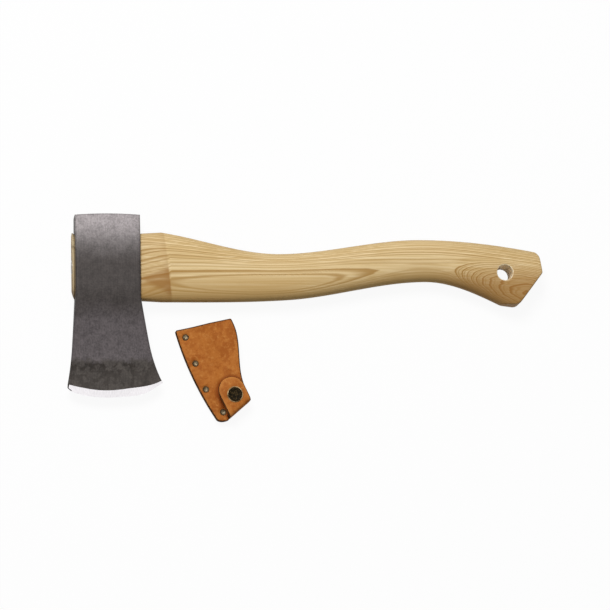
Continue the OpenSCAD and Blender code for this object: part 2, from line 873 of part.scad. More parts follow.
module snap_post() {
    r = socket_d / 2 - post_trim;
    color(bright)
        at_snap()
            polygon([[0, plateau_z - plate_t], [r, plateau_z - plate_t], [r, plateau_z],
                [post_d / 2, plateau_z], [post_d / 2, stud_top - stud_cap], [0, stud_top - stud_cap]]);
}

axe_head();
handle();
wood_wedge();
ring_wedge();
cover_back();
cover_welt();
cover_front();
cover_flap();
rivet_1();
rivet_2();
rivet_3();
rivet_4();
rivet_back_1();
rivet_back_2();
rivet_back_3();
rivet_back_4();
snap_cap();
snap_socket();
snap_stud();
snap_post();
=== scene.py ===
import json
import math

import bmesh
import bpy
from mathutils import Matrix, Vector, geometry, noise


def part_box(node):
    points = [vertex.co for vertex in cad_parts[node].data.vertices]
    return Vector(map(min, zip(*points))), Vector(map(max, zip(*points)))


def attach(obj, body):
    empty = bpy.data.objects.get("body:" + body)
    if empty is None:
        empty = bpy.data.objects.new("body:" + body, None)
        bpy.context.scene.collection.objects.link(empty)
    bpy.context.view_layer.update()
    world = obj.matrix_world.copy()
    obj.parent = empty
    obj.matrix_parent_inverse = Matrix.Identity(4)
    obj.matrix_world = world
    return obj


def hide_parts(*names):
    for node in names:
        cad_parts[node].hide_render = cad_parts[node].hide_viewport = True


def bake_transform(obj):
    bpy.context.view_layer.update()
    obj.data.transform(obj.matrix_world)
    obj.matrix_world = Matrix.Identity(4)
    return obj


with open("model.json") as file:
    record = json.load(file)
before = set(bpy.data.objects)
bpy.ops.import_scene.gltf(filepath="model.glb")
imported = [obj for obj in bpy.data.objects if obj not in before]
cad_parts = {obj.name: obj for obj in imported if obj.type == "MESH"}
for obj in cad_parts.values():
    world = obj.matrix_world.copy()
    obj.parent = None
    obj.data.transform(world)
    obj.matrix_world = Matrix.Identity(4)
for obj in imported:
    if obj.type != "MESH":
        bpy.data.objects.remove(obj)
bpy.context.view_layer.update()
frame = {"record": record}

mm = 0.001
weld = 0.002 * mm  # points nearer than this become one
hair = 1e-6  # less than this counts as nought


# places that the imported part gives, in millimetres

def nodeTop(node):
    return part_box(node)[1][2] / mm


def nodeMiddle(node):
    low, high = (Vector(corner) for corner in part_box(node))
    return (low + high) / 2 / mm


def mountNamed(name):
    return next(mount for mount in frame["record"]["mounts"] if mount["name"] == name)


# small helpers that several pieces use

def ease(s):
    s = min(1.0, max(0.0, s))
    return s * s * (3 - 2 * s)


def lerp(a, b, s):
    return a + (b - a) * s


def rough(x, y, z, size):
    return noise.noise(Vector((x / size, y / size, z / size)))


def cubic(a, b, x):  # between two keys that hold a place, a height and a slope
    w = b[0] - a[0]
    s = (x - a[0]) / w
    flat = (1 + 2 * s) * (1 - s) ** 2 * a[1] + s * s * (3 - 2 * s) * b[1]
    return flat + w * (s * (1 - s) ** 2 * a[2] + s * s * (s - 1) * b[2])


def roundCorners(corners, steps):  # corners as x, y and radius
    line = []
    count = len(corners)
    for i, (x, y, r) in enumerate(corners):
        here = Vector((x, y))
        if r == 0:
            line.append(here)
            continue
        back = (Vector(corners[i - 1][:2]) - here).normalized()
        ahead = (Vector(corners[(i + 1) % count][:2]) - here).normalized()
        half = math.acos(max(-1, min(1, back.dot(ahead)))) / 2
        middle = here + (back + ahead).normalized() * r / math.sin(half)
        first = here + back * r / math.tan(half) - middle
        turn = math.pi - 2 * half
        if back.x * ahead.y - back.y * ahead.x > 0:
            turn = -turn
        for k in range(steps + 1):
            a = turn * k / steps
            line.append(middle + Vector((first.x * math.cos(a) - first.y * math.sin(a),
                                         first.x * math.sin(a) + first.y * math.cos(a))))
    return line


def evenly(line, count):  # the same line with points evenly along it
    runs = [0.0]
    for a, b in zip(line, line[1:]):
        runs.append(runs[-1] + (b - a).length)
    out, at = [], 0
    for k in range(count + 1):
        want = runs[-1] * k / count
        while at < len(line) - 2 and runs[at + 1] < want:
            at += 1
        span = max(hair, runs[at + 1] - runs[at])
        out.append(line[at].lerp(line[at + 1], min(1.0, max(0.0, (want - runs[at]) / span))))
    return out


def gridFaces(rows, columns, start=0, closed=False):
    faces = []
    for i in range(rows - 1):
        for j in range(columns if closed else columns - 1):
            a = start + i * columns + j
            b = start + i * columns + (j + 1) % columns
            faces.append((a, b, b + columns, a + columns))
    return faces


def turned(profile, sides, putAt):  # a lathe piece: points and faces
    points = []
    for r, z in profile:
        for k in range(sides):
            a = 2 * math.pi * k / sides
            points.append(putAt(r * math.cos(a), r * math.sin(a), z))
    return points, gridFaces(len(profile), sides, closed=True)


def makePiece(name, points, faces, coats, crease, slots=None):
    mesh = bpy.data.meshes.new(name)
    mesh.from_pydata([Vector(p) * mm for p in points], [], faces)
    for coat in coats:
        mesh.materials.append(finishes[coat])
    if slots:
        mesh.polygons.foreach_set("material_index", slots)
    work = bmesh.new()
    work.from_mesh(mesh)
    bmesh.ops.remove_doubles(work, verts=work.verts, dist=weld)
    bmesh.ops.dissolve_degenerate(work, edges=work.edges, dist=weld / 4)
    bmesh.ops.recalc_face_normals(work, faces=work.faces)
    work.to_mesh(mesh)
    work.free()
    mesh.shade_smooth()
    mesh.set_sharp_from_angle(angle=math.radians(crease))
    piece = bpy.data.objects.new(name, mesh)
    bpy.context.scene.collection.objects.link(piece)
    return piece


def belongs(piece, body, node):  # what the piece rides on and stands for
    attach(piece, body)
    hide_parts(node)


# materials: a wire is a socket, and maths on wires adds Math nodes

class Wire:
    def __init__(self, tree, socket=None):
        self.tree, self.socket = tree, socket

    def node(self, kind, settings=None, values=None, out=0):
        made = self.tree.nodes.new("ShaderNode" + kind)
        for key, value in (settings or {}).items():
            setattr(made, key, value)
        for key, value in (values or {}).items():
            if isinstance(value, Wire):
                self.tree.links.new(value.socket, made.inputs[key])
            else:
                made.inputs[key].default_value = value
        return Wire(self.tree, made.outputs[out] if len(made.outputs) else None)

    def maths(self, operation, left, right=0.0):
        return self.node("Math", {"operation": operation}, {0: left, 1: right})

    def __add__(self, other):
        return self.maths("ADD", self, other)

    def __radd__(self, other):
        return self.maths("ADD", other, self)

    def __sub__(self, other):
        return self.maths("SUBTRACT", self, other)

    def __rsub__(self, other):
        return self.maths("SUBTRACT", other, self)

    def __mul__(self, other):
        return self.maths("MULTIPLY", self, other)

    def __rmul__(self, other):
        return self.maths("MULTIPLY", other, self)

    def __truediv__(self, other):
        return self.maths("DIVIDE", self, other)

    def __rtruediv__(self, other):
        return self.maths("DIVIDE", other, self)

    def __pow__(self, other):
        return self.maths("POWER", self, other)

    def __rpow__(self, other):
        return self.maths("POWER", other, self)

    def __abs__(self):
        return self.maths("ABSOLUTE", self)

    def atLeast(self, other):
        return self.maths("MAXIMUM", self, other)

    def step(self, low, high):  # smooth from nought at low to one at high
        return self.node("MapRange", {"interpolation_type": "SMOOTHSTEP"},
                         {"Value": self, "From Min": low, "From Max": high})

    def blend(self, first, second):  # two colours by this mask
        return self.node("Mix", {"data_type": "RGBA"}, {0: self, 6: first, 7: second}, 2)


def tone(r, g, b):  # screen colour from 0 to 255 as a linear colour
    out = []
    for c in (r / 255, g / 255, b / 255):
        out.append(c / 12.92 if c <= 0.04045 else ((c + 0.055) / 1.055) ** 2.4)
    return (*out, 1.0)


def newFinish(name):
    finish = bpy.data.materials.new(name)
    finish.use_nodes = True
    finish.node_tree.nodes.clear()
    return finish, Wire(finish.node_tree)


def place(wire, stretch=(1, 1, 1), turn=0.0):  # the part's own coordinates, in millimetres
    spot = wire.node("TexCoord", out="Object")
    return wire.node("Mapping", {"vector_type": "POINT"},
                     {"Vector": spot, "Rotation": (0, 0, turn), "Scale": [s / mm for s in stretch]})


def axesOf(wire, spot):
    split = wire.node("SeparateXYZ", {}, {"Vector": spot}).socket.node
    return [Wire(wire.tree, split.outputs[axis]) for axis in "XYZ"]


def cloud(wire, spot, size, detail, harsh, twist=0.0):  # soft noise with marks of that size
    return wire.node("TexNoise", {}, {"Vector": spot, "Scale": 1 / size, "Detail": detail,
                                      "Roughness": harsh, "Distortion": twist})


def closeFinish(finish, wire, shades, relief, reach, strength):  # the skin, with its relief as a bump
    bump = wire.node("Bump", {}, {"Height": relief, "Distance": reach * mm, "Strength": strength})
    skin = wire.node("BsdfPrincipled", {}, {**shades, "Normal": bump})
    wire.node("OutputMaterial", {}, {"Surface": skin})
    return finish


# camera at the photograph's viewing angle

cameraSet = dict(spot=(-190.1, -497.8, 2800.0), aim=(151.2, -28.84, 11.0), wide=466.65, film=36.0,
                 far=20.0)


def setCamera():
    spot, aim = Vector(cameraSet["spot"]) * mm, Vector(cameraSet["aim"]) * mm
    ahead = (aim - spot).normalized()
    right = (Vector((1, 0, 0)) - ahead * ahead.x).normalized()
    up = right.cross(ahead)
    lens = bpy.data.cameras.new("camera")
    lens.sensor_width = cameraSet["film"]
    lens.lens = cameraSet["film"] * (aim - spot).length / (cameraSet["wide"] * mm)
    lens.clip_end = cameraSet["far"]
    camera = bpy.data.objects.new("camera", lens)
    turn = Matrix((right, up, -ahead)).transposed().to_4x4()
    camera.matrix_world = Matrix.Translation(spot) @ turn
    bpy.context.scene.collection.objects.link(camera)
    bpy.context.scene.camera = camera
    print("camera set")


# floor and light, in metres

studio = dict(floorSize=6.0, floorDrop=0.0004, floorTone=(0.42, 0.42, 0.42, 1),
              paperTone=(0.93, 0.93, 0.93, 1), paperGlow=0.93, white=(1, 1, 1, 1), worldStrength=0.2,
              lampAim=(0.15, -0.03, 0.0),
              keySpot=(-0.3, 0.95, 2.0), keySize=0.9, keyPower=41.0,
              fillSpot=(-0.9, -0.9, 1.5), fillSize=1.4, fillPower=1.0)


def addLamp(name, spot, size, power):
    lamp = bpy.data.lights.new(name, "AREA")
    lamp.size = size
    lamp.energy = power
    holder = bpy.data.objects.new(name, lamp)
    holder.location = spot
    way = Vector(studio["lampAim"]) - Vector(spot)
    holder.rotation_euler = way.to_track_quat("-Z", "Y").to_euler()
    bpy.context.scene.collection.objects.link(holder)


def seenDirectly(wire):  # camera, mirror and glass rays, which see plain white paper
    camera, mirror, glass = (wire.node("LightPath", out=f"Is {ray} Ray")
                             for ray in ("Camera", "Glossy", "Transmission"))
    return camera + mirror + glass


def setFloor():
    half, drop = studio["floorSize"] / 2, -studio["floorDrop"]
    mesh = bpy.data.meshes.new("floor")
    mesh.from_pydata([(-half, -half, drop), (half, -half, drop), (half, half, drop), (-half, half, drop)],
                     [], [(0, 1, 2, 3)])
    floor = bpy.data.objects.new("floor", mesh)
    bpy.context.scene.collection.objects.link(floor)
    finish, wire = newFinish("floorPaper")
    seen = seenDirectly(wire)
    paper = wire.node("BsdfDiffuse", {}, {"Color": seen.blend(studio["floorTone"], studio["paperTone"])})
    glow = wire.node("Emission", {}, {"Color": studio["white"], "Strength": 1.0})
    mixed = wire.node("MixShader", {}, {0: seen * studio["paperGlow"], 1: paper, 2: glow})
    wire.node("OutputMaterial", {}, {"Surface": mixed})
    mesh.materials.append(finish)


def setLight():
    world = bpy.data.worlds.new("studio")
    world.use_nodes = True
    world.node_tree.nodes.clear()
    wire = Wire(world.node_tree)
    dim = wire.node("Background", {}, {"Color": studio["white"], "Strength": studio["worldStrength"]})
    bright = wire.node("Background", {}, {"Color": studio["white"], "Strength": 1.0})
    mixed = wire.node("MixShader", {}, {0: seenDirectly(wire), 1: dim, 2: bright})
    wire.node("OutputWorld", {}, {"Surface": mixed})
    bpy.context.scene.world = world
    addLamp("keyLamp", studio["keySpot"], studio["keySize"], studio["keyPower"])
    addLamp("fillLamp", studio["fillSpot"], studio["fillSize"], studio["fillPower"])
    bpy.context.scene.view_settings.view_transform = "Standard"
    print("floor and light set")


# steel: forged cheeks painted from a bright poll through a dark waist to a lighter lower blade, a painted
# highlight and painted shade of the top light on their curves, with scaled sides and a ground bevel

# poll, upper, dark and lower are painted light and shade on the cheeks; band, blot and the ground tones
# are the steel's own
steelAndShadeTones = dict(poll=tone(152, 145, 146), upper=tone(136, 130, 130), dark=tone(66, 61, 59),
                  lower=tone(90, 84, 85), band=tone(70, 65, 60), blot=tone(44, 39, 35),
                  ground=tone(250, 247, 249), groundLine=tone(228, 224, 227))
forge = dict(wander=14.0, upperY=(0, 33), pollY=(22, 44), lowerY=(-46, -24), bandY=(-75, -70),
             bandShare=0.85, stain=(0.44, 0.56), stainY=(-84, -74), cleanX=(20, 40), clean=0.6, scale=0.8,
             mottle=(0.36, 0.64), mottleDark=(0.64, 0.64, 0.64, 1),
             mottleLight=(1.34, 1.34, 1.34, 1))


def forgedSteel(name, scale=0.0):  # scale is the share of dark forge scale
    finish, wire = newFinish(name)
    f, tones = forge, steelAndShadeTones
    spot = place(wire)
    x, y, _ = axesOf(wire, spot)
    broad = cloud(wire, spot, size=22, detail=3, harsh=0.55)
    grit = cloud(wire, spot, size=1.5, detail=4, harsh=0.75)
    speck = cloud(wire, spot, size=0.5, detail=2, harsh=0.6)
    streak = cloud(wire, place(wire, (1, 0.05, 1)), size=0.9, detail=3, harsh=0.6)
    blotch = cloud(wire, place(wire, (1, 0.8, 1)), size=7, detail=4, harsh=0.65, twist=0.6)
    dapple = cloud(wire, spot, size=5, detail=4, harsh=0.7)
    # painted highlight towards the poll, painted shade at the waist, lighter again low on the blade
    at = y + (broad - 0.5) * f["wander"]
    colour = at.step(*f["upperY"]).blend(tones["dark"], tones["upper"])
    colour = at.step(*f["pollY"]).blend(colour, tones["poll"])
    colour = (1 - at.step(*f["lowerY"])).blend(colour, tones["lower"])
    low = 1 - (y + (blotch - 0.5) * f["wander"]).step(*f["bandY"])  # heat marked band above the bevel
    colour = (low * f["bandShare"]).blend(colour, tones["band"])
    stain = blotch.step(*f["stain"]) * (0.5 + y.step(*f["stainY"]) * 0.5)
    colour = (low * stain * (1 - x.step(*f["cleanX"]) * f["clean"])).blend(colour, tones["blot"])
    if scale:
        colour = (broad.step(0.2, 0.5) * scale).blend(colour, tones["blot"])
    mottle = (grit * 0.5 + streak * 0.2 + dapple * 0.3).step(*f["mottle"])
    mottle = mottle.blend(f["mottleDark"], f["mottleLight"])
    colour = wire.node("Mix", {"data_type": "RGBA", "blend_type": "MULTIPLY"},
                       {0: 1.0, 6: colour, 7: mottle}, 2)
    matte = 0.55 + (grit - 0.5) * 0.3 + low * 0.08
    shades = {"Base Color": colour, "Metallic": 0.2, "Specular IOR Level": 0.15, "Roughness": matte}
    relief = grit * 0.6 + speck * 0.4 + broad * 0.6
    return closeFinish(finish, wire, shades, relief, reach=0.1, strength=0.5)


def groundSteel():
    finish, wire = newFinish("groundSteel")
    lines = cloud(wire, place(wire, (6, 0.5, 1)), size=1.4, detail=3, harsh=0.6)
    fine = cloud(wire, place(wire), size=0.7, detail=2, harsh=0.5)
    tint = lines.step(0.25, 0.75).blend(steelAndShadeTones["groundLine"], steelAndShadeTones["ground"])
    shades = {"Base Color": tint, "Metallic": 0.6, "Roughness": 0.3 + lines * 0.12}
    return closeFinish(finish, wire, shades, lines + fine * 0.3, reach=0.02, strength=0.3)


# forged head: a sheet of rows from the poll to the edge on each cheek, joined round the sides

head = dict(half=24.8, mid=12.0, thick=24.0, pollY=40.2, crown=1.0, crownRows=9, draft=2.0, landUp=6.0,
            landDown=14.0, flareY=-25.0, toeRun=36.0, heelRun=34.0, toeLean=3.9, heelLean=10.7,
            edgeLow=-100.0, edgeR=86.0, edgeLead=1.0, toeX=-31.8, heelX=41.2, bladeT=2.8, hollowEnd=8.0,
            swellR=70.0, bevel=14.5, bevelReach=12.0, land=0.05, bow=1.6, thinRun=30.0, toeBlunt=2.0,
            bluntShare=0.09, heelThin=0.62, heelThinFrom=0.6, toeThin=0.12, toeThinTo=0.2, heelFull=1.7,
            fullFrom=0.5, fullPeak=0.8, soft=1.3, bladeSoft=2.0, softFrom=-5.0, softRun=35.0,
            softShare=0.45, crease=26.0, eyeHalf=25.0, eyeW=17.0, eyeDraft=2.0, eyeEase=0.2,
            eyeSteps=16, eyePast=9.0, cheekRows=23, bladeRows=32, bevelRows=5, wallRows=4, columns=40,
            toeLine=0.011, toeDark=5, toeDarkLow=7)
forging = dict(deep=0.09, broad=11.0, fine=4.5, sideRun=6.0, edgeClear=6.0, edgeRun=8.0, pollRun=4.0)
insets = (0.0, 0.06, 0.24, 0.56, 1.0)  # shares of the eased corner where rows and columns lie
farDown = 9.0  # distance under the poll's corner at which it no longer counts


def headHalf(y):  # half thickness of the cheek
    h = head
    if y > h["landUp"]:
        run = h["pollY"] - h["landUp"]
        r = (run ** 2 + h["draft"] ** 2) / (2 * h["draft"])
        return h["thick"] / 2 - r + math.sqrt(r * r - (y - h["landUp"]) ** 2)
    if y > -h["landDown"]:
        return h["thick"] / 2
    low = h["edgeLow"] + h["hollowEnd"]
    run, drop = -h["landDown"] - low, (h["thick"] - h["bladeT"]) / 2
    both = (run ** 2 + drop ** 2) / (2 * drop)
    hollowR = both - h["swellR"]
    if y > -h["landDown"] - run * h["swellR"] / both:
        return h["thick"] / 2 - h["swellR"] + math.sqrt(h["swellR"] ** 2 - (y + h["landDown"]) ** 2)
    if y > low:
        return h["bladeT"] / 2 + hollowR - math.sqrt(hollowR ** 2 - (y - low) ** 2)
    return h["bladeT"] / 2


def edgeMiddle():
    return Vector((-head["edgeLead"], head["edgeLow"] + head["edgeR"]))


def edgeIn(p):  # distance in from the edge's arc
    return head["edgeR"] - (p - edgeMiddle()).length


def edgeY(x):
    middle = edgeMiddle()
    return middle.y - math.sqrt(head["edgeR"] ** 2 - (x - middle.x) ** 2)


def edgeTip(sign):  # toe corner for -1, heel corner for 1
    x = head["toeX"] if sign < 0 else head["heelX"]
    return Vector((x, edgeY(x)))


def sideX(y, sign):  # toe side for -1, heel side for 1
    h = head
    if y > h["flareY"]:
        return sign * h["half"]
    lean = math.radians(h["toeLean"] if sign < 0 else h["heelLean"])
    run = h["toeRun"] if sign < 0 else h["heelRun"]
    if y > h["flareY"] - run:
        return sign * (h["half"] + (h["flareY"] - y) * math.tan(lean))
    bend = Vector((sign * (h["half"] + run * math.tan(lean)), h["flareY"] - run))
    tip = edgeTip(sign)
    inward = Vector((sign * math.cos(lean), math.sin(lean)))
    r = (tip - bend).length_squared / (2 * (tip - bend).dot(inward))
    middle = bend + inward * r
    return middle.x - sign * math.sqrt(max(0.0, r * r - (y - middle.y) ** 2))


def edgeHalf(s):  # half thickness at the bevel's upper line, least at the heel corner
    h = head
    heel = h["heelThin"] * ease((s - h["heelThinFrom"]) / (1 - h["heelThinFrom"]))
    toe = h["toeThin"] * ease((h["toeThinTo"] - s) / h["toeThinTo"])
    return h["bladeT"] / 2 * (1 - heel - toe)


def bevelWide(s):
    return (edgeHalf(s) - head["land"]) / math.tan(math.radians(head["bevel"]))


def edgeFull(s):  # the edge stands fuller than its arc towards the heel
    start, peak = head["fullFrom"], head["fullPeak"]
    return head["heelFull"] * (ease((s - start) / (peak - start)) - ease((s - peak) / (1 - peak)))


def bevelEnd(sign):  # where the bevel's upper line meets a side, found by halving
    low = edgeTip(sign).y
    high = low + head["bevelReach"]
    for _ in range(40):
        y = (low + high) / 2
        if edgeIn(Vector((sideX(y, sign), y))) < bevelWide((1 + sign) / 2):
            low = y
        else:
            high = y
    return Vector((sideX(low, sign), low))


def rayAt(first, last, s):  # direction from the edge's centre, between two places
    a, b = (math.atan2(p.y - edgeMiddle().y, p.x - edgeMiddle().x) for p in (first, last))
    return Vector((math.cos(lerp(a, b, s)), math.sin(lerp(a, b, s))))


def softness(p, bevel):  # radius of the eased corner where a row ends
    h = head
    half = headHalf(p.y)
    if bevel > 0:
        half = min(half, edgeIn(p) * math.tan(math.radians(h["bevel"])) + h["land"])
    soft = lerp(h["soft"], h["bladeSoft"], ease((h["softFrom"] - p.y) / h["softRun"]))
    return min(soft, h["softShare"] * max(h["land"], half))


def headRows(left, right):  # heights of both ends, shares of crown, bow and bevel, run from the poll
    h = head
    corner = h["pollY"] - h["crown"]
    rows = [(corner - q * h["soft"],) * 2 + (1.0, 0.0, 0.0, q * h["soft"]) for q in insets]
    for k in range(1, h["cheekRows"] + 1):
        y = lerp(corner - h["soft"], h["flareY"], k / h["cheekRows"])
        rows.append((y, y, max(0.0, 1 - k / h["crownRows"]), 0.0, 0.0, farDown))
    for k in range(1, h["bladeRows"] + 1):
        s = k / h["bladeRows"]
        yLeft, yRight = (lerp(h["flareY"], end.y, s) for end in (left, right))
        rows.append((yLeft, yRight, 0.0, s ** h["bow"], 0.0, farDown))
    return rows + [(0, 0, 0.0, 1.0, k / h["bevelRows"], farDown) for k in range(1, h["bevelRows"] + 1)]


def columnPlan():  # side and share of each column across a cheek
    count = head["columns"]
    middle = [0.0, head["toeLine"]] + [k / count for k in range(1, count + 1)]
    toeSide, heelSide = [(-1, q) for q in insets[:-1]], [(1, q) for q in reversed(insets[:-1])]
    return toeSide + [(0, q) for q in middle] + heelSide


def forgeMark(p, fromToe, fromHeel, fromPoll):  # depth of the hammer marks, which fade towards every edge
    f = forging
    inside = min(1.0, fromToe / f["sideRun"], fromHeel / f["sideRun"], fromPoll / f["pollRun"],
                 (p.y - edgeY(p.x) - f["edgeClear"]) / f["edgeRun"])
    lump = rough(p.x, p.y, 3, f["broad"]) * 0.6 + rough(p.x, p.y, 9, f["fine"]) * 0.4
    return f["deep"] * max(0.0, inside) * (0.5 + 0.5 * lump)


def headPoint(row, ends, corners, s, soft):
    h = head
    _, _, crown, bow, bevel, fromPoll = row
    left, right, toe, heel = corners
    wide = (ends[1] - ends[0]).length
    line = edgeMiddle() + rayAt(left, right, s) * (h["edgeR"] - bevelWide(s))
    if bevel > 0:
        blunt = h["toeBlunt"] * max(0.0, 1 - s / h["bluntShare"]) ** 2
        edge = edgeMiddle() + rayAt(toe, heel, s) * (h["edgeR"] - blunt + edgeFull(s))
        p = line.lerp(edge, bevel)
        z = lerp(edgeHalf(s), h["land"], bevel)
    else:
        p = ends[0].lerp(ends[1], s)
        p.y += crown * h["crown"] * (1 - (2 * s - 1) ** 2)
        p += bow * (line - left.lerp(right, s))
        near = ease(1 - (edgeIn(p) - bevelWide(s)) / h["thinRun"])
        z = headHalf(p.y) - (headHalf(line.y) - edgeHalf(s)) * near
        z -= forgeMark(p, s * wide, (1 - s) * wide, fromPoll)
    across = max(0.0, soft - s * wide, soft - (1 - s) * wide)  # how far into the eased corners
    down = max(0.0, h["soft"] - fromPoll)
    if down > 0:
        across, soft = across * h["soft"] / soft, h["soft"]
    z -= soft - math.sqrt(max(0.0, soft * soft - across * across - down * down))
    return p.x, p.y, z


def headGrid():
    corners = bevelEnd(-1), bevelEnd(1), edgeTip(-1), edgeTip(1)
    left, right, toe, heel = corners
    grid = []
    for row in headRows(left, right):
        yLeft, yRight, bevel = row[0], row[1], row[4]
        if bevel > 0:
            ends = left.lerp(toe, bevel), right.lerp(heel, bevel)
        else:
            ends = Vector((sideX(yLeft, -1), yLeft)), Vector((sideX(yRight, 1), yRight))
        wide = (ends[1] - ends[0]).length
        softL, softR = (softness(p, bevel) for p in ends)
        line = []
        for side, q in columnPlan():
            if side < 0:
                s = q * softL / wide
            elif side > 0:
                s = 1 - q * softR / wide
            else:
                s = lerp(softL / wide, 1 - softR / wide, q)
            line.append(headPoint(row, ends, corners, s, lerp(softL, softR, s)))
        grid.append(line)
    return grid


def buildHead():
    h = head
    forged, ground, scaled = range(3)
    grid = headGrid()
    rows, columns = len(grid), len(grid[0])
    bevelFrom = rows - 1 - h["bevelRows"]
    points, faces, slots = [], [], []
    for sign in (1, -1):
        start = len(points)
        points += [(x, y, h["mid"] + sign * z) for line in grid for x, y, z in line]
        for n, face in enumerate(gridFaces(rows, columns, start)):
            faces.append(face if sign < 0 else face[::-1])
            row, column = divmod(n, columns - 1)
            dark = h["toeDarkLow"] if row == rows - 2 else h["toeDark"]  # the bevel's toe corner takes the dark scale finish
            slots.append(forged if row < bevelFrom else scaled if column < dark else ground)
    rim = list(range(columns)) + [i * columns + columns - 1 for i in range(1, rows)]
    rim += [(rows - 1) * columns + j for j in range(columns - 2, -1, -1)]
    rim += [i * columns for i in range(rows - 2, 0, -1)]
    count, size = rows * columns, len(rim)
    levels = [rim]
    for step in range(1, h["wallRows"]):
        levels.append(list(range(len(points), len(points) + size)))
        for k in rim:
            pair = zip(points[k], points[k + count])
            points.append(tuple(lerp(a, b, step / h["wallRows"]) for a, b in pair))
    levels.append([k + count for k in rim])
    for upper, lower in zip(levels, levels[1:]):
        for k in range(size):
            m = (k + 1) % size
            faces.append((upper[k], upper[m], lower[m], lower[k]))
            slots.append(ground if min(rim[k], rim[m]) // columns == rows - 1 else scaled)
    piece = makePiece("forgedHead", points, faces, ("forged", "ground", "scale"), h["crease"], slots)
    cutEye(piece)
    belongs(piece, "hatchet", "axe_head")
    print("head built")


def stadium(wide, r, reach, steps):  # quarter outline of the eye from its flat side to its end
    quarter = reach + math.pi / 2 * r
    out = []
    for k in range(steps + 1):
        s = quarter * k / steps
        if s < reach:
            out.append((s, wide))
        else:
            a = (s - reach) / r
            out.append((reach + r * math.sin(a), min(wide, r * math.cos(a))))
    return out


def eyeRing(x, draw, steps):  # outline of the tapered eye at x, drawn in all round
    h = head
    r = h["eyeW"] / 2 + h["eyeEase"]
    wide = h["eyeW"] / 2 - h["eyeDraft"] / 2 * (x + h["half"]) / (2 * h["half"])
    quarter = stadium(wide - draw, r - draw, h["eyeHalf"] - r, steps)
    half = quarter + [(y, -z) for y, z in reversed(quarter[:-1])]
    return half + [(-y, -z) for y, z in half[1:-1]]


def cutEye(piece):
    h = head
    far = h["half"] + h["eyePast"]
    points = [(x, y, h["mid"] + z) for x in (-far, far) for y, z in eyeRing(x, 0.0, h["eyeSteps"])]
    count = len(points) // 2
    faces = gridFaces(2, count, closed=True)
    faces += [tuple(range(count)), tuple(range(2 * count - 1, count - 1, -1))]
    cutter = makePiece("eyeCutter", points, faces, ("forged",), h["crease"])
    cut = piece.modifiers.new("eye", "BOOLEAN")
    cut.solver, cut.object, cut.operation = "EXACT", cutter, "DIFFERENCE"
    bpy.context.view_layer.update()
    shaped = bpy.data.meshes.new_from_object(piece.evaluated_get(bpy.context.evaluated_depsgraph_get()))
    piece.modifiers.clear()
    piece.data = shaped
    bpy.data.objects.remove(cutter)
    work = bmesh.new()
    work.from_mesh(shaped)
    bmesh.ops.triangulate(work, faces=[face for face in work.faces if len(face.verts) > 4])
    twins = {}
    for face in work.faces:
        twins.setdefault(frozenset(face.verts), []).append(face)
    slivers = [face for pair in twins.values() if len(pair) > 1 for face in pair]  # two on each other
    bmesh.ops.delete(work, geom=slivers, context="FACES_ONLY")
    work.to_mesh(shaped)
    work.free()
    shaped.shade_smooth()
    shaped.set_sharp_from_angle(angle=math.radians(h["crease"]))
    finishAt = {}
    for face in shaped.polygons:
        for key in face.edge_keys:
            finishAt.setdefault(key, set()).add(face.material_index)
    for edge in shaped.edges:  # a crisp line where the grinding starts
        edge.use_edge_sharp = edge.use_edge_sharp or len(finishAt[edge.key]) > 1


# hickory: yearly rings that the handle's surface cuts as lines, arches and a swirl at the foot, with
# painted shade along the belly

woodTones = dict(pale=tone(234, 208, 159), mid=tone(210, 179, 123), core=tone(190, 152, 90),
                 late=tone(172, 131, 71), heart=tone(156, 108, 54), gleam=tone(240, 217, 170),
                 end=tone(196, 181, 148), dirt=tone(84, 66, 46), torn=tone(255, 240, 208))
timber = dict(lean=-9.0, top=26.0, warmShift=9.0, fall=0.003, sway=0.8, wave=0.3, crowd=2.24,
              least=0.02, deepCrowd=0.35, deepFrom=3.0, sink=1.9, sinkX=(240, 305), core=2.92,
              coreEdge=0.12, coreIn=0.2, coreOut=0.8, coreX=(215, 240), outerX=(225, 250),
              outerRing=(1, 1.1), coreRootX=(56, 84), coreTipX=(148, 176), lateRise=(0.58, 0.88),
              lateFall=(0.91, 0.99), thinRise=(0.33, 0.44), thinFall=(0.47, 0.58), deep=(3, 7),
              darkX=(250, 285))
swirl = dict(x=320.0, y=-22.0, turn=-15.0, long=60.0, high=24.0, crook=6.5, wave=0.5, crookWave=1.6)
planing = dict(x=45.8, lean=0.11, tilt=0.07, soft=0.8, ridge=6.0, lowY=(-14, 8), knotX=24.0, knotY=-11.0,
               knotSlope=0.42, knotSoft=2.0, knotSway=8.0, knotShare=0.42, share=0.12)
shade = dict(bellyY=-25.0, bellyWide=15.0, hollowX=(150, 245), hollowUp=14.0, heelX=(250, 310),
             heelDown=24.0, footY=(-18, 3), footX=(240, 275))
weatherAndShade = dict(grey=0.72, tangX=(-25.2, -24.4), rootX=(-26.2, -25.5), lowY=(-26, 6), holeIn=0.2,
               holeOut=0.9)


def footSwirl(x, y):  # mask of the place in the foot that the grain swings round
    w = swirl
    turn = math.radians(w["turn"])
    dx, dy = x - w["x"], y - w["y"]
    along = dx * math.cos(turn) + dy * math.sin(turn)
    across = dy * math.cos(turn) - dx * math.sin(turn)
    return 1 - ((along / w["long"]) ** 2 + (across / w["high"]) ** 2).step(0, 1)


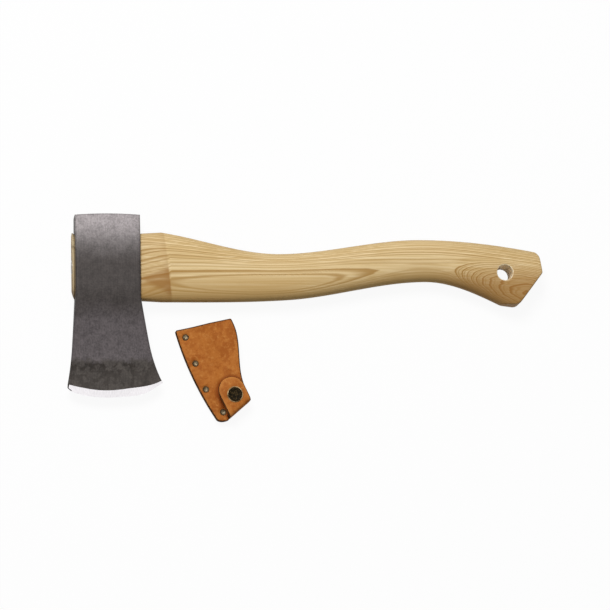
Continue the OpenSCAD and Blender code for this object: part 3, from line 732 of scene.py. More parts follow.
def growthRings(wire, x, y, z, slow, warm):  # masks from the yearly rings
    t = timber
    lean = math.radians(t["lean"])
    wave = cloud(wire, place(wire, (0.05, 0.6, 0.6)), size=4, detail=2, harsh=0.5)
    foot = footSwirl(x, y)
    depth = t["top"] + warm * t["warmShift"] - z * math.cos(lean) - y * math.sin(lean)
    depth = depth - x * t["fall"] - (planing["x"] - x).atLeast(0.0) * planing["tilt"]
    depth = depth + (slow - 0.5) * t["sway"] + (wave - 0.5) * (t["wave"] + foot * swirl["wave"])
    depth = depth + x.step(*t["sinkX"]) * t["sink"]
    rings = depth.atLeast(t["least"]) ** 0.5 * t["crowd"]
    rings = rings + (depth - t["deepFrom"]).atLeast(0.0) * t["deepCrowd"]
    core = (1 - rings.step(t["core"] - t["coreIn"], t["core"] + t["coreOut"])) * (1 - x.step(*t["coreX"]))
    outer = rings.step(t["core"], t["core"] + t["coreEdge"])
    outer = outer.atLeast(x.step(*t["outerX"]) * rings.step(*t["outerRing"]))
    rings = rings - foot * swirl["crook"] + (wave - 0.5) * foot * swirl["crookWave"]
    phase = rings.maths("FRACT", rings)
    # dark summer wood comes on slowly and ends at a clean line
    late = phase.step(*t["lateRise"]) * (1 - phase.step(*t["lateFall"])) * outer
    thin = phase.step(*t["thinRise"]) * (1 - phase.step(*t["thinFall"]))
    each = rings.maths("FLOOR", rings)
    tell = wire.node("TexWhiteNoise", {"noise_dimensions": "1D"}, {"W": each})
    return dict(depth=depth, foot=foot, core=core, late=late, thin=thin, tell=tell)


def planedShare(x, y, slow):  # browner wood, with a knot, where the shoulder is planed beside the head, darker along its ridge and towards its bottom
    p = planing
    along = x + y * p["lean"]
    facet = 1 - along.step(p["x"] - p["soft"], p["x"] + p["soft"])
    ridge = facet * along.step(p["x"] - p["ridge"], p["x"])
    away = abs(y - p["knotY"] + (slow - 0.5) * p["knotSway"])
    knot = 1 - (away - (x - p["knotX"]) * p["knotSlope"]).step(-p["knotSoft"], p["knotSoft"])
    low = 1 - y.step(*p["lowY"])
    return facet * (p["share"] + knot * p["knotShare"] + low * p["share"]) + ridge * p["share"]


def weatheredAndShaded(wire, spot, body, late, warm):  # grey, dirty tang end, painted shadow next to the head, darker towards the bottom, and torn fibres in the hole
    w, tones = weatherAndShade, woodTones
    x, y, _ = axesOf(wire, spot)
    tang = 1 - x.step(*w["tangX"])
    body = (tang * (w["grey"] - warm)).blend(body, tones["end"])
    body = (tang * late * 0.5).blend(body, tones["dirt"])
    # painted shadow where the tang meets the head, and darker towards the bottom
    dirt = x.step(*w["rootX"]) * 0.75 + (1 - y.step(*w["lowY"])) * 0.3
    body = (tang * dirt).blend(body, tones["dirt"])
    hole = ((x - haft["lanyardX"]) ** 2 + (y - haft["lanyardY"]) ** 2) ** 0.5 - haft["lanyardR"]
    fuzz = cloud(wire, spot, size=0.9, detail=3, harsh=0.65).step(0.4, 0.62)
    return ((1 - hole.step(w["holeIn"], w["holeOut"])) * (0.4 + fuzz * 0.6)).blend(body, tones["torn"])


def hickoryWood(name, warm=0.0):  # warm is how much browner the wedge is
    finish, wire = newFinish(name)
    t, tones = timber, woodTones
    spot = place(wire)
    x, y, z = axesOf(wire, spot)
    slow = cloud(wire, place(wire, (0.12, 1, 1)), size=19, detail=2, harsh=0.4)
    rings = growthRings(wire, x, y, z, slow, warm)
    late, core, foot, tell = (rings[mask] for mask in ("late", "core", "foot", "tell"))
    pores = cloud(wire, place(wire, (0.045, 1, 1)), size=0.32, detail=2, harsh=0.6)
    fibre = cloud(wire, place(wire, (0.011, 1, 1)), size=0.9, detail=3, harsh=0.65)
    shine = cloud(wire, place(wire, (0.008, 1, 1)), size=1.1, detail=2, harsh=0.5)
    patch = cloud(wire, place(wire, (0.4, 1, 1)), size=30, detail=2, harsh=0.5)
    pale = fibre.step(0.34, 0.66) * 0.7 + patch.step(0.35, 0.65) * 0.3
    body = pale.blend(tones["mid"], tones["pale"])
    body = (shine.step(0.54, 0.64) * 0.8).blend(body, tones["gleam"])
    dark = late * (0.5 + tell * 0.45 + x.step(*t["darkX"]) * 0.2)
    dark = dark * (1 - rings["depth"].step(*t["deep"]) * 0.2)
    body = (dark + rings["thin"] * (0.4 + tell * 0.4)).blend(body, tones["late"])
    body = (foot * 0.4).blend(body, tones["core"])
    body = (late * foot * 0.6).blend(body, tones["heart"])
    body = (core * 0.5).blend(body, tones["core"])
    ends = (1 - x.step(*t["coreRootX"])) * 0.5 + x.step(*t["coreTipX"]) * 0.3
    body = (core * ends).blend(body, tones["late"])  # the long arch is browner at its ends
    # painted shade: a band along the handle's lower edge is blended to the core tone
    under = x.step(*shade["hollowX"]) * shade["hollowUp"] - x.step(*shade["heelX"]) * shade["heelDown"]
    low = 1 - (y - (under + shade["bellyY"])).step(0, shade["bellyWide"])
    body = (low * 0.75).blend(body, tones["core"])
    # painted shade on the foot's belly, blended to the heart tone together with the planed shoulder and
    # the wedge's warmth
    footBellyShade = (1 - y.step(*shade["footY"])) * x.step(*shade["footX"])
    body = (footBellyShade * 0.6 + planedShare(x, y, slow) + warm).blend(body, tones["heart"])
    body = weatheredAndShaded(wire, spot, body, late, warm)
    vessel = pores.step(0.6, 0.74) * (0.25 + 0.5 * late)
    body = (vessel * 0.5).blend(body, tones["late"])
    matte = 0.52 + late * 0.08 - fibre * 0.08
    shades = {"Base Color": body, "Roughness": matte, "Specular IOR Level": 0.05}
    relief = fibre * 0.3 - pores * 0.4 + late * 0.1
    return closeFinish(finish, wire, shades, relief, reach=0.05, strength=0.4)


# handle: rings from the tang to the lanyard hole, then a foot that fans from the hole's rim to the butt

lanyard = mountNamed("lanyard_hole")
haft = dict(tangX=-26.9, seatX=24.85, shoulderX=41.3, buttX=334.5, throat=0.3065, crest=0.678,
            foot=0.925, shoulderHalf=26.9, throatY=10.3, crestY=21.4, buttY=11.2, bellyY=25.0,
            hollowY=11.0, footY=34.4, bellyShift=9.0, hollowShift=5.0, backFall=-0.15, buttFall=-0.2,
            bellyRise=0.07, footFall=-0.5, shoulderT=21.0, gripT=20.5, footT=24.0, power=2.4, bow=6.6,
            bowLean=0.55, bowFade=5.0, lanyardX=lanyard["pos_m"][0] / mm,
            lanyardY=lanyard["pos_m"][1] / mm, lanyardR=lanyard["dims"]["r_mm"], rim=0.7, slantY=5.5,
            soleY=29.9, soleL=14.3, soleRise=1.0, backRound=8.5, slantRound=2.5, soleRound=6.0,
            heelRound=16.0, sawnRun=2.0, fit=0.05, tangBevel=1.9, tangBevelH=7.0, tangFlare=0.06,
            tangInside=0.1, seatHalf=25.6, seatT=16.2, seatPower=5.0, seatBack=0.4, tangBack=0.6,
            gripRings=88, holeRings=16, crease=30.0)
ringAngles = (0, 8, 16, 24, 32, 40, 48, 56, 63, 70, 76, 81, 85, 88, 89.5, 90)
tangEnd = ((0.0, 0.25), (0.08, 0.08), (0.3, 0.0))  # run back from the end and how far it is drawn in
shoulderLoft = (0.0, 0.12, 0.3, 0.5, 0.7, 0.86, 0.95, 0.985)
shoulderRings = (0.0, 0.35, 1.2)
sawnIn = (0.0, 0.0, 0.001, 0.004, 0.011, 0.022, 0.04, 0.07, 0.12, 0.2, 0.3, 0.42, 0.56, 0.7, 0.85, 1.0)
sawnUp = (0.0, 0.5, 0.82, 0.905, 0.945, 0.97, 0.985, 0.994, 0.999) + (1.0,) * 7  # heights at those shares


def haftX(share):
    return haft["shoulderX"] + share * (haft["buttX"] - haft["shoulderX"])


def footStart():  # where the foot's fan begins, at the hole's rim
    return haft["lanyardX"] - haft["lanyardR"] - haft["rim"]


def keyLine(keys, x):
    for a, b in zip(keys, keys[1:]):
        if x < b[0]:
            return cubic(a, b, x)
    return keys[-1][1] + keys[-1][2] * (x - keys[-1][0])


def backY(x):
    h = haft
    return keyLine([(h["shoulderX"], h["shoulderHalf"], h["backFall"]),
                    (haftX(h["throat"]), h["throatY"], 0),
                    (haftX(h["crest"]), h["crestY"], 0),
                    (h["buttX"], h["buttY"], h["buttFall"])], x)


def bellyY(x):
    h = haft
    return keyLine([(h["shoulderX"], -h["shoulderHalf"], 0),
                    (haftX(h["throat"]) + h["bellyShift"], -h["bellyY"], h["bellyRise"]),
                    (haftX(h["crest"]) + h["hollowShift"], -h["hollowY"], 0),
                    (haftX(h["foot"]), -h["footY"], h["footFall"])], x)


def middleY(x):
    return (backY(x) + bellyY(x)) / 2


def halfHigh(x):
    return (backY(x) - bellyY(x)) / 2


def haftHalf(x):  # half thickness on the middle line
    h = haft
    crest = haftX(h["crest"])
    if x < crest:
        return lerp(h["shoulderT"], h["gripT"], ease((x - h["shoulderX"]) / (crest - h["shoulderX"]))) / 2
    return lerp(h["gripT"], h["footT"], ease((x - crest) / (h["lanyardX"] - crest))) / 2


def surfaceHalf(x, y):  # half thickness anywhere on the oval section
    share = min(1.0, abs((y - middleY(x)) / halfHigh(x)))
    return haftHalf(x) * (1 - share ** haft["power"]) ** (1 / haft["power"])


def oval(v, n):
    return math.copysign(abs(v) ** (2 / n), v) if abs(v) > hair else 0.0


def ringTurn():  # all angles once round, from the top face's middle over the back
    half = list(ringAngles) + [180 - a for a in reversed(ringAngles[:-1])]
    return half + [a + 180 for a in half[1:-1]]


def ringAt(x, middle, high, wide, power, bow):
    ring = []
    for a in ringTurn():
        s, c = math.sin(math.radians(a)), math.cos(math.radians(a))
        shift = bow * c * c * (1 - haft["bowLean"] * s)
        ring.append((x + shift, middle + high * oval(s, power), head["mid"] + wide * oval(c, power)))
    return ring


def tangFront(y):  # bevel on the lower end of the tang's front
    h = haft
    share = (h["tangBevelH"] - head["eyeHalf"] - y) / h["tangBevelH"]
    return h["tangBevel"] * min(1.0, max(0.0, share))


def tangRing(x, draw):
    proud = x < -head["half"]
    ring = []
    for y, z in eyeRing(x, haft["fit"] + draw, len(ringAngles) - 1):
        flare = 1 + haft["tangFlare"] * proud * (y > 0)
        ring.append((x + tangFront(y) * proud, y * flare, head["mid"] + z))
    return ring


def seatRing(x):
    return ringAt(x, 0, haft["seatHalf"], haft["seatT"] / 2, haft["seatPower"], 0)


def haftRing(x):
    h = haft
    fade = max(0.0, 1 - (x - h["shoulderX"]) / (h["bowFade"] * h["bow"]))
    return ringAt(x, middleY(x), halfHigh(x), haftHalf(x), h["power"], h["bow"] * fade)


def towardsHole(ring, share):  # the ring's middle line moves towards the hole's height
    lift = (haft["lanyardY"] - middleY(footStart())) * ease(share)
    out = []
    for x, y, z in ring:
        away = max(-1.0, min(1.0, (y - middleY(x)) / halfHigh(x)))
        y += lift * (1 - abs(away))
        side = z - head["mid"]
        rise = math.copysign(surfaceHalf(x, y), side) if abs(side) > hair else 0.0
        out.append((x, y, head["mid"] + rise))
    return out


def haftRings():
    h = haft
    seatX, shoulderX = h["seatX"], h["shoulderX"]
    rings = [tangRing(h["tangX"] + run, draw) for run, draw in tangEnd]
    rings += [tangRing(x, 0.0) for x in (h["tangInside"] - head["half"], seatX - h["tangBack"])]
    rings.append(seatRing(seatX - h["seatBack"]))
    seat, shoulder = seatRing(seatX), haftRing(shoulderX)
    for s in shoulderLoft:
        rings.append([tuple(lerp(a, b, s) for a, b in zip(p, q)) for p, q in zip(seat, shoulder)])
    rings += [haftRing(shoulderX + run) for run in shoulderRings]
    gripX = shoulderX + shoulderRings[-1]
    count, near = h["gripRings"], h["holeRings"]
    for k in range(1, count + 1):
        ring = haftRing(lerp(gripX, footStart(), k / count))
        share = 1 - (count - k) / near
        rings.append(towardsHole(ring, share) if share > 0 else ring)
    return rings


def buildHandle():
    rings = haftRings()
    columns = len(rings[0])
    points = [p for ring in rings for p in ring]
    faces = gridFaces(len(rings), columns, closed=True)
    half = columns // 2
    for j in range(columns // 4):  # end of the tang, in strips on both sides of its middle
        above = j, j + 1, half - j - 1, half - j
        below = half + j, half + j + 1, columns - j - 1, (columns - j) % columns
        faces += [tuple(dict.fromkeys(face)) for face in (above, below)]
    addFoot(points, faces)
    piece = makePiece("hickoryHandle", points, faces, ("hickory",), haft["crease"])
    belongs(piece, "hatchet", "handle")
    print("handle built")


def footLine():  # outline of the foot from the back over the butt to the belly
    h = haft
    foot, crest = haftX(h["foot"]), haftX(h["crest"])
    past, lead, inset = 0.4, 2.0, 25.0
    back = h["buttY"] + past
    soleX = h["buttX"] - (h["buttX"] - foot) * (h["soleY"] - h["slantY"]) / (h["footY"] - h["slantY"])
    corners = [(crest - 1, back - h["buttFall"] * (h["buttX"] - crest), 0),
               (h["buttX"] - lead, back - h["buttFall"] * lead, h["backRound"]),
               (h["buttX"], -h["slantY"], h["slantRound"]), (soleX, -h["soleY"], h["soleRound"]),
               (soleX - h["soleL"], h["soleRise"] - h["soleY"], h["heelRound"]),
               (foot - inset, -h["footY"] - h["footFall"] * inset - past, 0), (crest - 1, -h["footY"], 0)]
    buttPoints, backPoints, bellyPoints, cornerSteps = 90, 24, 8, 14
    cut = evenly(roundCorners(corners, cornerSteps)[1:-2], buttPoints)
    cut = [Vector((p.x, max(bellyY(p.x), min(backY(p.x), p.y)))) for p in cut]
    upper = [lerp(footStart(), cut[0].x, k / backPoints) for k in range(backPoints)]
    lower = [lerp(cut[-1].x, footStart(), k / bellyPoints) for k in range(1, bellyPoints + 1)]
    return [Vector((x, backY(x))) for x in upper] + cut + [Vector((x, bellyY(x))) for x in lower]


def footColumn(q, ray, sides):  # from a place on the outline over the face and down the hole's wall
    h = haft
    hole = Vector((h["lanyardX"], h["lanyardY"]))
    inner = hole + ray * (h["lanyardR"] + h["rim"])
    sawn = ease(min(backY(q.x) - q.y, q.y - bellyY(q.x)) / h["sawnRun"])
    column = [(q.x, q.y, 0.0)]
    for j in range(1, len(sides)):
        p = q.lerp(inner, lerp(sides[j], sawnIn[j], sawn))
        column.append((p.x, p.y, surfaceHalf(p.x, p.y) * lerp(1.0, sawnUp[j], sawn)))
    top = column[-1][2]
    for degrees in (30, 60, 90):
        a = math.radians(degrees)
        p = inner - ray * h["rim"] * math.sin(a)
        column.append((p.x, p.y, top - h["rim"] * (1 - math.cos(a))))
    p = hole + ray * h["lanyardR"]
    return column + [(p.x, p.y, top * 0.5), (p.x, p.y, 0.0)]


def addFoot(points, faces):  # puts the foot after the handle's own points and faces
    h = haft
    outline = footLine()
    hole, ahead = Vector((h["lanyardX"], h["lanyardY"])), Vector((1, 0))
    sides = [1 - oval(math.sin(math.radians(a)), h["power"]) for a in reversed(ringAngles)]
    first, last = ((outline[k] - hole).angle_signed(ahead) for k in (0, -1))
    columns = []
    for q in outline:
        turn = (q - hole).angle_signed(ahead)
        turn *= math.pi / (first if turn > 0 else abs(last))
        columns.append(footColumn(q, Vector((math.cos(turn), math.sin(turn))), sides))
    for sign in (1, -1):
        faces += gridFaces(len(columns), len(columns[0]), len(points))
        points += [(x, y, head["mid"] + sign * z) for column in columns for x, y, z in column]


# wedges in the tang's end, a hair proud of it

wedge = dict(half=2.47, tip=0.6, length=36.0, proud=0.25, reach=24.6, soft=0.25, softRun=0.2, corner=0.5,
             cornerShare=0.6, strips=8, warm=0.45, crease=30.0)
ringWedge = dict(r=5.5, wall=1.3, proud=0.12, length=12.0, point=1.3, soft=0.15, sides=40, crease=30.0)


def buildWedge():
    w = wedge
    x0, x1 = haft["tangX"] - w["proud"], haft["tangX"] + w["length"]
    across = 2 * w["strips"]
    rings = []
    for x, draw in ((x0, w["soft"]), (x0 + w["softRun"], 0.0), (lerp(x0, x1, 0.5), 0.0), (x1, 0.0)):
        half = lerp(w["half"], w["tip"], (x - x0) / (x1 - x0)) - draw
        tipY, tipZ = w["reach"] - draw, half * w["cornerShare"]
        sideY = tipY - w["corner"]
        ring = [(sideY * (k / w["strips"] - 1), half) for k in range(across + 1)]
        ring += [(tipY, tipZ), (tipY, -tipZ)]
        ring += [(-y, -z) for y, z in ring]
        front = x <= x0 + w["softRun"]  # follows the bevel on the tang's front
        rings.append([(x + tangFront(y) * front, y, head["mid"] + z) for y, z in ring])
    count = len(rings[0])
    faces = gridFaces(len(rings), count, closed=True)
    far = count // 2 + across
    strips = [(i, i + 1, far - 1 - i, far - i) for i in range(across)]
    strips += [(across, across + 1, across + 2, across + 3), (far, far + 1, far + 2, 0)]
    for base in (0, (len(rings) - 1) * count):
        faces += [tuple(base + k for k in face) for face in strips]
    piece = makePiece("woodWedge", [p for ring in rings for p in ring], faces, ("wedge",), w["crease"])
    belongs(piece, "hatchet", "wood_wedge")


def buildRingWedge():
    w = ringWedge
    outer, inner, soft = w["r"], w["r"] - w["wall"], w["soft"]
    top, low = -wedge["proud"] - w["proud"], w["length"]
    root = low - w["point"]
    profile = [(inner, root), (inner, top + soft), (inner + soft, top), (outer - soft, top),
               (outer, top + soft), (outer, root), ((inner + outer) / 2, low), (inner, root)]
    points, faces = turned(profile, w["sides"], lambda a, b, z: (haft["tangX"] + z, a, head["mid"] + b))
    piece = makePiece("ringWedge", points, faces, ("bright",), w["crease"])
    belongs(piece, "hatchet", "ring_wedge")
    print("wedges built")


# leather edge cover: places on it are u across from the seam and v along the seam from the heel

snap = dict(u=18.65, v=16.7, r=6.2, post=1.6, postRoom=0.05, socketR=4.9, studR=2.1, gap=0.4, web=0.4,
            lift=0.6, play=0.15, studCap=0.3, plateT=0.6, studIn=0.4, plateIn=0.6, soft=0.1, crownRows=7,
            crownSides=56, sides=48, plateSides=40)
cover = dict(turn=25.0, hide=2.4, seam=81.0, bow=3.4, toeW=42.2, heelW=29.0, toeRake=13.2, heelRake=15.7,
             mouthFrom=19.0, mouthTo=67.0, heelTuck=0.9, tuckFrom=8.0, tuckRun=16.0, heelRound=7.0,
             toeRound=1.2, seamRound=1.0, reliefRound=0.6, slitRound=0.2, edgeRound=0.4, weltW=9.1,
             weltPast=3.0, weltRoom=0.01, flange=4.8, riseW=5.2, riseSpread=2.8, spreadFrom=24.0,
             spreadRun=24.0, uneven=0.16, unevenSize=13.0, pebble=0.07, pebbleSize=4.0, easeTop=0.8,
             easeLow=0.35, fray=0.05, fraySize=1.3, crease=38.0)
meshing = dict(front=1.15, welt=1.6, back=0.9, least=0.3, rowShare=0.95, edgeShare=0.55, crossing=0.06,
               join=1e-5, sidePoints=30, heelPoints=12, tonguePoints=28, cornerSteps=6)
strap = dict(left=7.9, wide=20.5, endV=20.8, fold=3.2, gap=0.25, room=0.2, slit=0.6,
             top=nodeTop("cover_flap"), droop=1.1, droopFrom=6.5, droopV=11.0, droopRun=9.0)
rivets = dict(count=4, r=2.5, dip=1.0, dimple=0.95, dimpleR=3.4, pinPress=0.3, pinPressRun=0.9, pin=1.2,
              pinRoom=0.05, tubeWall=0.45, tubeHigh=3.6, pinLow=0.3, backHigh=0.7, soft=0.1,
              backDish=0.08, faceRows=3, sides=36)
dyes = dict(edge=0.45, mouth=0.85, welt=0.5, strap=0.17, near=1.2, heelClear=5.0, seamClear=4.5,
            strapFrom=13.0, strapTo=27.0)
easeDepths = (0.2, 0.5, 0.9)  # rings of points inside a sheet's edge
wallShares = (0.33, 0.67)  # levels of points down its cut edge
plateauZ = nodeTop("cover_front") - cover["hide"]


def turnedSpot(u, v):
    a = math.radians(cover["turn"])
    return Vector((u * math.cos(a) - v * math.sin(a), u * math.sin(a) + v * math.cos(a)))


coverCorner = nodeMiddle("snap_post").xy - turnedSpot(snap["u"], snap["v"])


def coverPlace(u, v, z):
    spot = coverCorner + turnedSpot(u, v)
    return spot.x, spot.y, z


def coverSpot(node):  # a node's middle as u and v
    a = math.radians(cover["turn"])
    away = nodeMiddle(node).xy - coverCorner
    return away.x * math.cos(a) + away.y * math.sin(a), away.y * math.cos(a) - away.x * math.sin(a)


rivetSpots = [coverSpot(f"rivet_{k}") for k in range(1, rivets["count"] + 1)]

# the last tone is a painted shadow on the panel round the flap's tongue
hideTones = dict(tan=tone(186, 113, 49), deep=tone(165, 92, 35), pale=tone(203, 135, 69),
                 cut=tone(70, 44, 24), cutPale=tone(112, 76, 46), flesh=tone(170, 122, 78),
                 fleshDeep=tone(142, 95, 56), burnish=tone(132, 62, 18))
# where the painted shadow round the flap's tongue and the painted highlight on the flap's rim lie
flapShadeAndGleam = dict(inset=0.25, reach=3.8, strength=0.85, panelZ=(6, 7), underZ=(11.4, 12.2),
               flapZ=(12.6, 13.4), rim=(-3, -0.4), pale=0.45)


def paintedFlapLight(wire, spot, tint):  # a painted shadow round the flap's tongue on the panel, and a painted highlight along the flap's rim
    f = flapShadeAndGleam
    x, y, z = axesOf(wire, spot)
    tongueX, tongueY, _ = coverPlace(strap["left"] + strap["wide"] / 2, strap["endV"], 0.0)
    turn = math.radians(cover["turn"])
    dx, dy = x - tongueX, y - tongueY
    across = dx * math.cos(turn) + dy * math.sin(turn)
    along = (dy * math.cos(turn) - dx * math.sin(turn)).atLeast(0.0)
    away = (across ** 2 + along ** 2) ** 0.5 - (strap["wide"] / 2 - f["inset"])
    onPanel = z.step(*f["panelZ"]) * (1 - z.step(*f["underZ"]))
    # painted shadow on the panel just outside the tongue
    shadowBand = away.step(-1, 0) * (1 - away.step(0.2, f["reach"])) * onPanel
    tint = (shadowBand * f["strength"]).blend(tint, hideTones["burnish"])
    # painted highlight along the flap's rim
    return (away.step(*f["rim"]) * z.step(*f["flapZ"]) * f["pale"]).blend(tint, hideTones["pale"])


def tanHide():
    finish, wire = newFinish("tanHide")
    spot = place(wire)
    broad = cloud(wire, spot, size=13, detail=4, harsh=0.65, twist=0.4)
    fleck = cloud(wire, spot, size=2.6, detail=4, harsh=0.7)
    fine = cloud(wire, spot, size=0.5, detail=3, harsh=0.6)
    crease = cloud(wire, place(wire, (1, 0.5, 1), 0.44), size=6, detail=3, harsh=0.5, twist=1.2)
    pebble = wire.node("TexVoronoi", {"feature": "SMOOTH_F1"},
                       {"Vector": spot, "Scale": 1.7, "Smoothness": 0.6})
    tint = broad.step(0.38, 0.6).blend(hideTones["deep"], hideTones["tan"])
    tint = (fleck.step(0.5, 0.7) * 0.75).blend(tint, hideTones["pale"])
    tint = (1 - fleck.step(0.32, 0.44)).blend(tint, hideTones["deep"])
    tint = ((1 - pebble.step(0.05, 0.4)) * 0.15).blend(tint, hideTones["deep"])
    # painted shadow round the flap and painted highlight on its rim
    tint = paintedFlapLight(wire, spot, tint)
    matte = 0.55 + (fleck - 0.5) * 0.25
    shades = {"Base Color": tint, "Roughness": matte, "Specular IOR Level": 0.05}
    relief = pebble * 0.5 + fine * 0.35 + crease * 0.9
    return closeFinish(finish, wire, shades, relief, reach=0.16, strength=0.5)


def cutHide():
    finish, wire = newFinish("cutHide")
    fibre = cloud(wire, place(wire, (1, 1, 3.2)), size=0.8, detail=4, harsh=0.7)
    patch = cloud(wire, place(wire), size=5, detail=3, harsh=0.6)
    tint = (fibre * 0.6 + patch * 0.4).step(0.35, 0.68).blend(hideTones["cut"], hideTones["cutPale"])
    shades = {"Base Color": tint, "Roughness": 0.78 + fibre * 0.1, "Specular IOR Level": 0.03}
    return closeFinish(finish, wire, shades, fibre, reach=0.2, strength=0.6)


def fleshHide():
    finish, wire = newFinish("fleshHide")
    spot = place(wire)
    nap = cloud(wire, spot, size=0.7, detail=5, harsh=0.7)
    patch = cloud(wire, spot, size=9, detail=3, harsh=0.6)
    tint = (nap * 0.5 + patch * 0.5).step(0.3, 0.7).blend(hideTones["fleshDeep"], hideTones["flesh"])
    shades = {"Base Color": tint, "Roughness": 0.88 + nap * 0.08, "Specular IOR Level": 0.1,
              "Sheen Weight": 0.1, "Sheen Roughness": 0.5}
    return closeFinish(finish, wire, shades, nap, reach=0.25, strength=0.6)


# outlines of the leather, flat

def rakeSlope(key):
    return math.tan(math.radians(cover[key]))


def seamU(v):
    c = cover
    r = ((c["seam"] / 2) ** 2 + c["bow"] ** 2) / (2 * c["bow"])
    return r - c["bow"] - math.sqrt(r * r - (v - c["seam"] / 2) ** 2)


def mouthU(v):
    c = cover
    tuck = c["heelTuck"] * (1 - ease((v - c["tuckFrom"]) / c["tuckRun"]))  # drawn in under the flap
    share = ease((v - c["mouthFrom"]) / (c["mouthTo"] - c["mouthFrom"]))
    return lerp(c["heelW"], c["toeW"], share) - tuck


def heelV(u):
    return u * rakeSlope("heelRake")


def toeV(u):
    return cover["seam"] - u * rakeSlope("toeRake")


def heelSlope():
    return math.cos(math.radians(cover["heelRake"]))


def reliefV():  # room for the strap in front of the panel's heel
    return (cover["hide"] + strap["gap"]) / heelSlope()


def panelSides():  # up the seam and down the mouth, as corners with their radii
    c = cover
    count = meshing["sidePoints"]
    low = heelV(c["heelW"]) + reliefV()
    corners = []
    for k in range(count + 1):
        v = lerp(c["heelRound"], c["seam"], k / count)
        corners.append((seamU(v), v, c["seamRound"] if k == count else 0))
    for k in range(count + 1):
        v = lerp(toeV(c["toeW"]), low, k / count)
        corners.append((mouthU(v), v, c["toeRound"] if k == 0 else 0))
    return corners


def heelCorner():
    r, count = cover["heelRound"], meshing["heelPoints"]
    corners = []
    for k in range(count):
        s, c = math.sin(math.pi / 2 * k / count), math.cos(math.pi / 2 * k / count)
        corners.append((r * (1 - s) + seamU(r) * s, r * (1 - c) + heelV(r) * c, 0))
    return corners


def panelLine():
    edge = strap["left"] - strap["gap"]
    step = [(edge, heelV(edge) + reliefV(), cover["reliefRound"]),
            (edge, heelV(edge), cover["edgeRound"])]
    return roundCorners(panelSides() + step + heelCorner(), meshing["cornerSteps"])


def weltLine():
    c = cover
    return [Vector((min(p.x, c["weltW"]), p.y)) for p in panelLine() if p.x < c["weltW"] + c["weltPast"]]


def strapRun():  # lengths of the strap's middle round one bend and up its wall
    bend = (strap["fold"] - cover["hide"] / 2) * math.pi / 2
    return bend, strap["top"] - 2 * strap["fold"]


def flapFlat(u, v):  # where a place on the closed flap lies on the flat cut
    bend, wall = strapRun()
    return 2 * heelV(u) + (2 * strap["fold"] - 2 * bend - wall) / heelSlope() - v


def backLine():  # flat cut of the back panel with its strap
    left, r, count = strap["left"], strap["wide"] / 2, meshing["tonguePoints"]
    right, edge, slit = left + 2 * r, left - strap["gap"], reliefV() * strap["slit"]
    corners = panelSides() + [(right, heelV(right) + reliefV(), 0)]
    for k in range(count + 1):
        a = math.pi * k / count
        u = left + r + r * math.cos(a)
        corners.append((u, flapFlat(u, strap["endV"] + r * math.sin(a)), 0))
    corners += [(u, heelV(u) + slit, cover["slitRound"]) for u in (left, edge)]
    corners += [(edge, heelV(edge), cover["edgeRound"])] + heelCorner()
    return roundCorners(corners, meshing["cornerSteps"])


def foldSheet(u, v, z):  # bends the flat cut at the heel and lays the flap over the front
    fold, top = strap["fold"], strap["top"]
    root = heelV(u) + fold / heelSlope()
    left, right = strap["left"] - strap["room"], strap["left"] + strap["wide"] + strap["room"]
    if v >= root or u < left or u > right:
        return u, v, z
    bend, wall = strapRun()
    run = (root - v) * heelSlope()
    r = fold - z
    if run < bend:
        a = run / bend * math.pi / 2
        w, high = fold - r * math.sin(a), fold - r * math.cos(a)
    elif run < bend + wall:
        w, high = z, fold + run - bend
    elif run < 2 * bend + wall:
        a = (run - bend - wall) / bend * math.pi / 2
        w, high = fold - r * math.cos(a), top - fold + r * math.sin(a)
    else:
        w, high = fold + run - 2 * bend - wall, top - z
        spot = heelV(u) + w / heelSlope()
        far = math.hypot(u - snap["u"], spot - snap["v"])
        fall = ease((far - strap["droopFrom"]) / strap["droopRun"])
        high -= strap["droop"] * fall * ease((spot - strap["droopV"]) / strap["droopRun"])
    return u, heelV(u) + w / heelSlope(), high


# sheets cut to an outline, with eased edges, bent and pressed into shape

def edgeGap(p, line):  # distance from a place to an outline
    best = math.inf
    for a, b in zip(line, line[1:] + line[:1]):
        span = b - a
        s = max(0.0, min(1.0, (p - a).dot(span) / max(hair, span.length_squared)))
        best = min(best, (p - a - span * s).length_squared)
    return math.sqrt(best)


def insideLine(p, line):
    odd = False
    for a, b in zip(line, line[1:] + line[:1]):
        if (a.y > p.y) != (b.y > p.y) and p.x < (b.x - a.x) * (p.y - a.y) / (b.y - a.y) + a.x:
            odd = not odd
    return odd


def insetLine(line, depth):
    out = []
    for k, p in enumerate(line):
        back, ahead = p - line[k - 1], line[(k + 1) % len(line)] - p
        way = back.normalized() + ahead.normalized()
        way = way.normalized() if way.length > hair else ahead.normalized()
        out.append(p + Vector((way.y, -way.x)) * depth)
    return out


def cleanLine(line, least):
    out = []
    for p in line:
        if not out or (p - out[-1]).length > least:
            out.append(p)
    while (out[0] - out[-1]).length < least:
        out.pop()
    area = sum(a.x * b.y - a.y * b.x for a, b in zip(out, out[1:] + out[:1]))
    return out if area < 0 else out[::-1]  # clockwise, so that the right hand is inside


def fineLine(line, most):  # more points on the long straight runs
    out = []
    for a, b in zip(line, line[1:] + line[:1]):
        parts = math.ceil((b - a).length / most)
        out += [a.lerp(b, k / parts) for k in range(parts)]
    return out


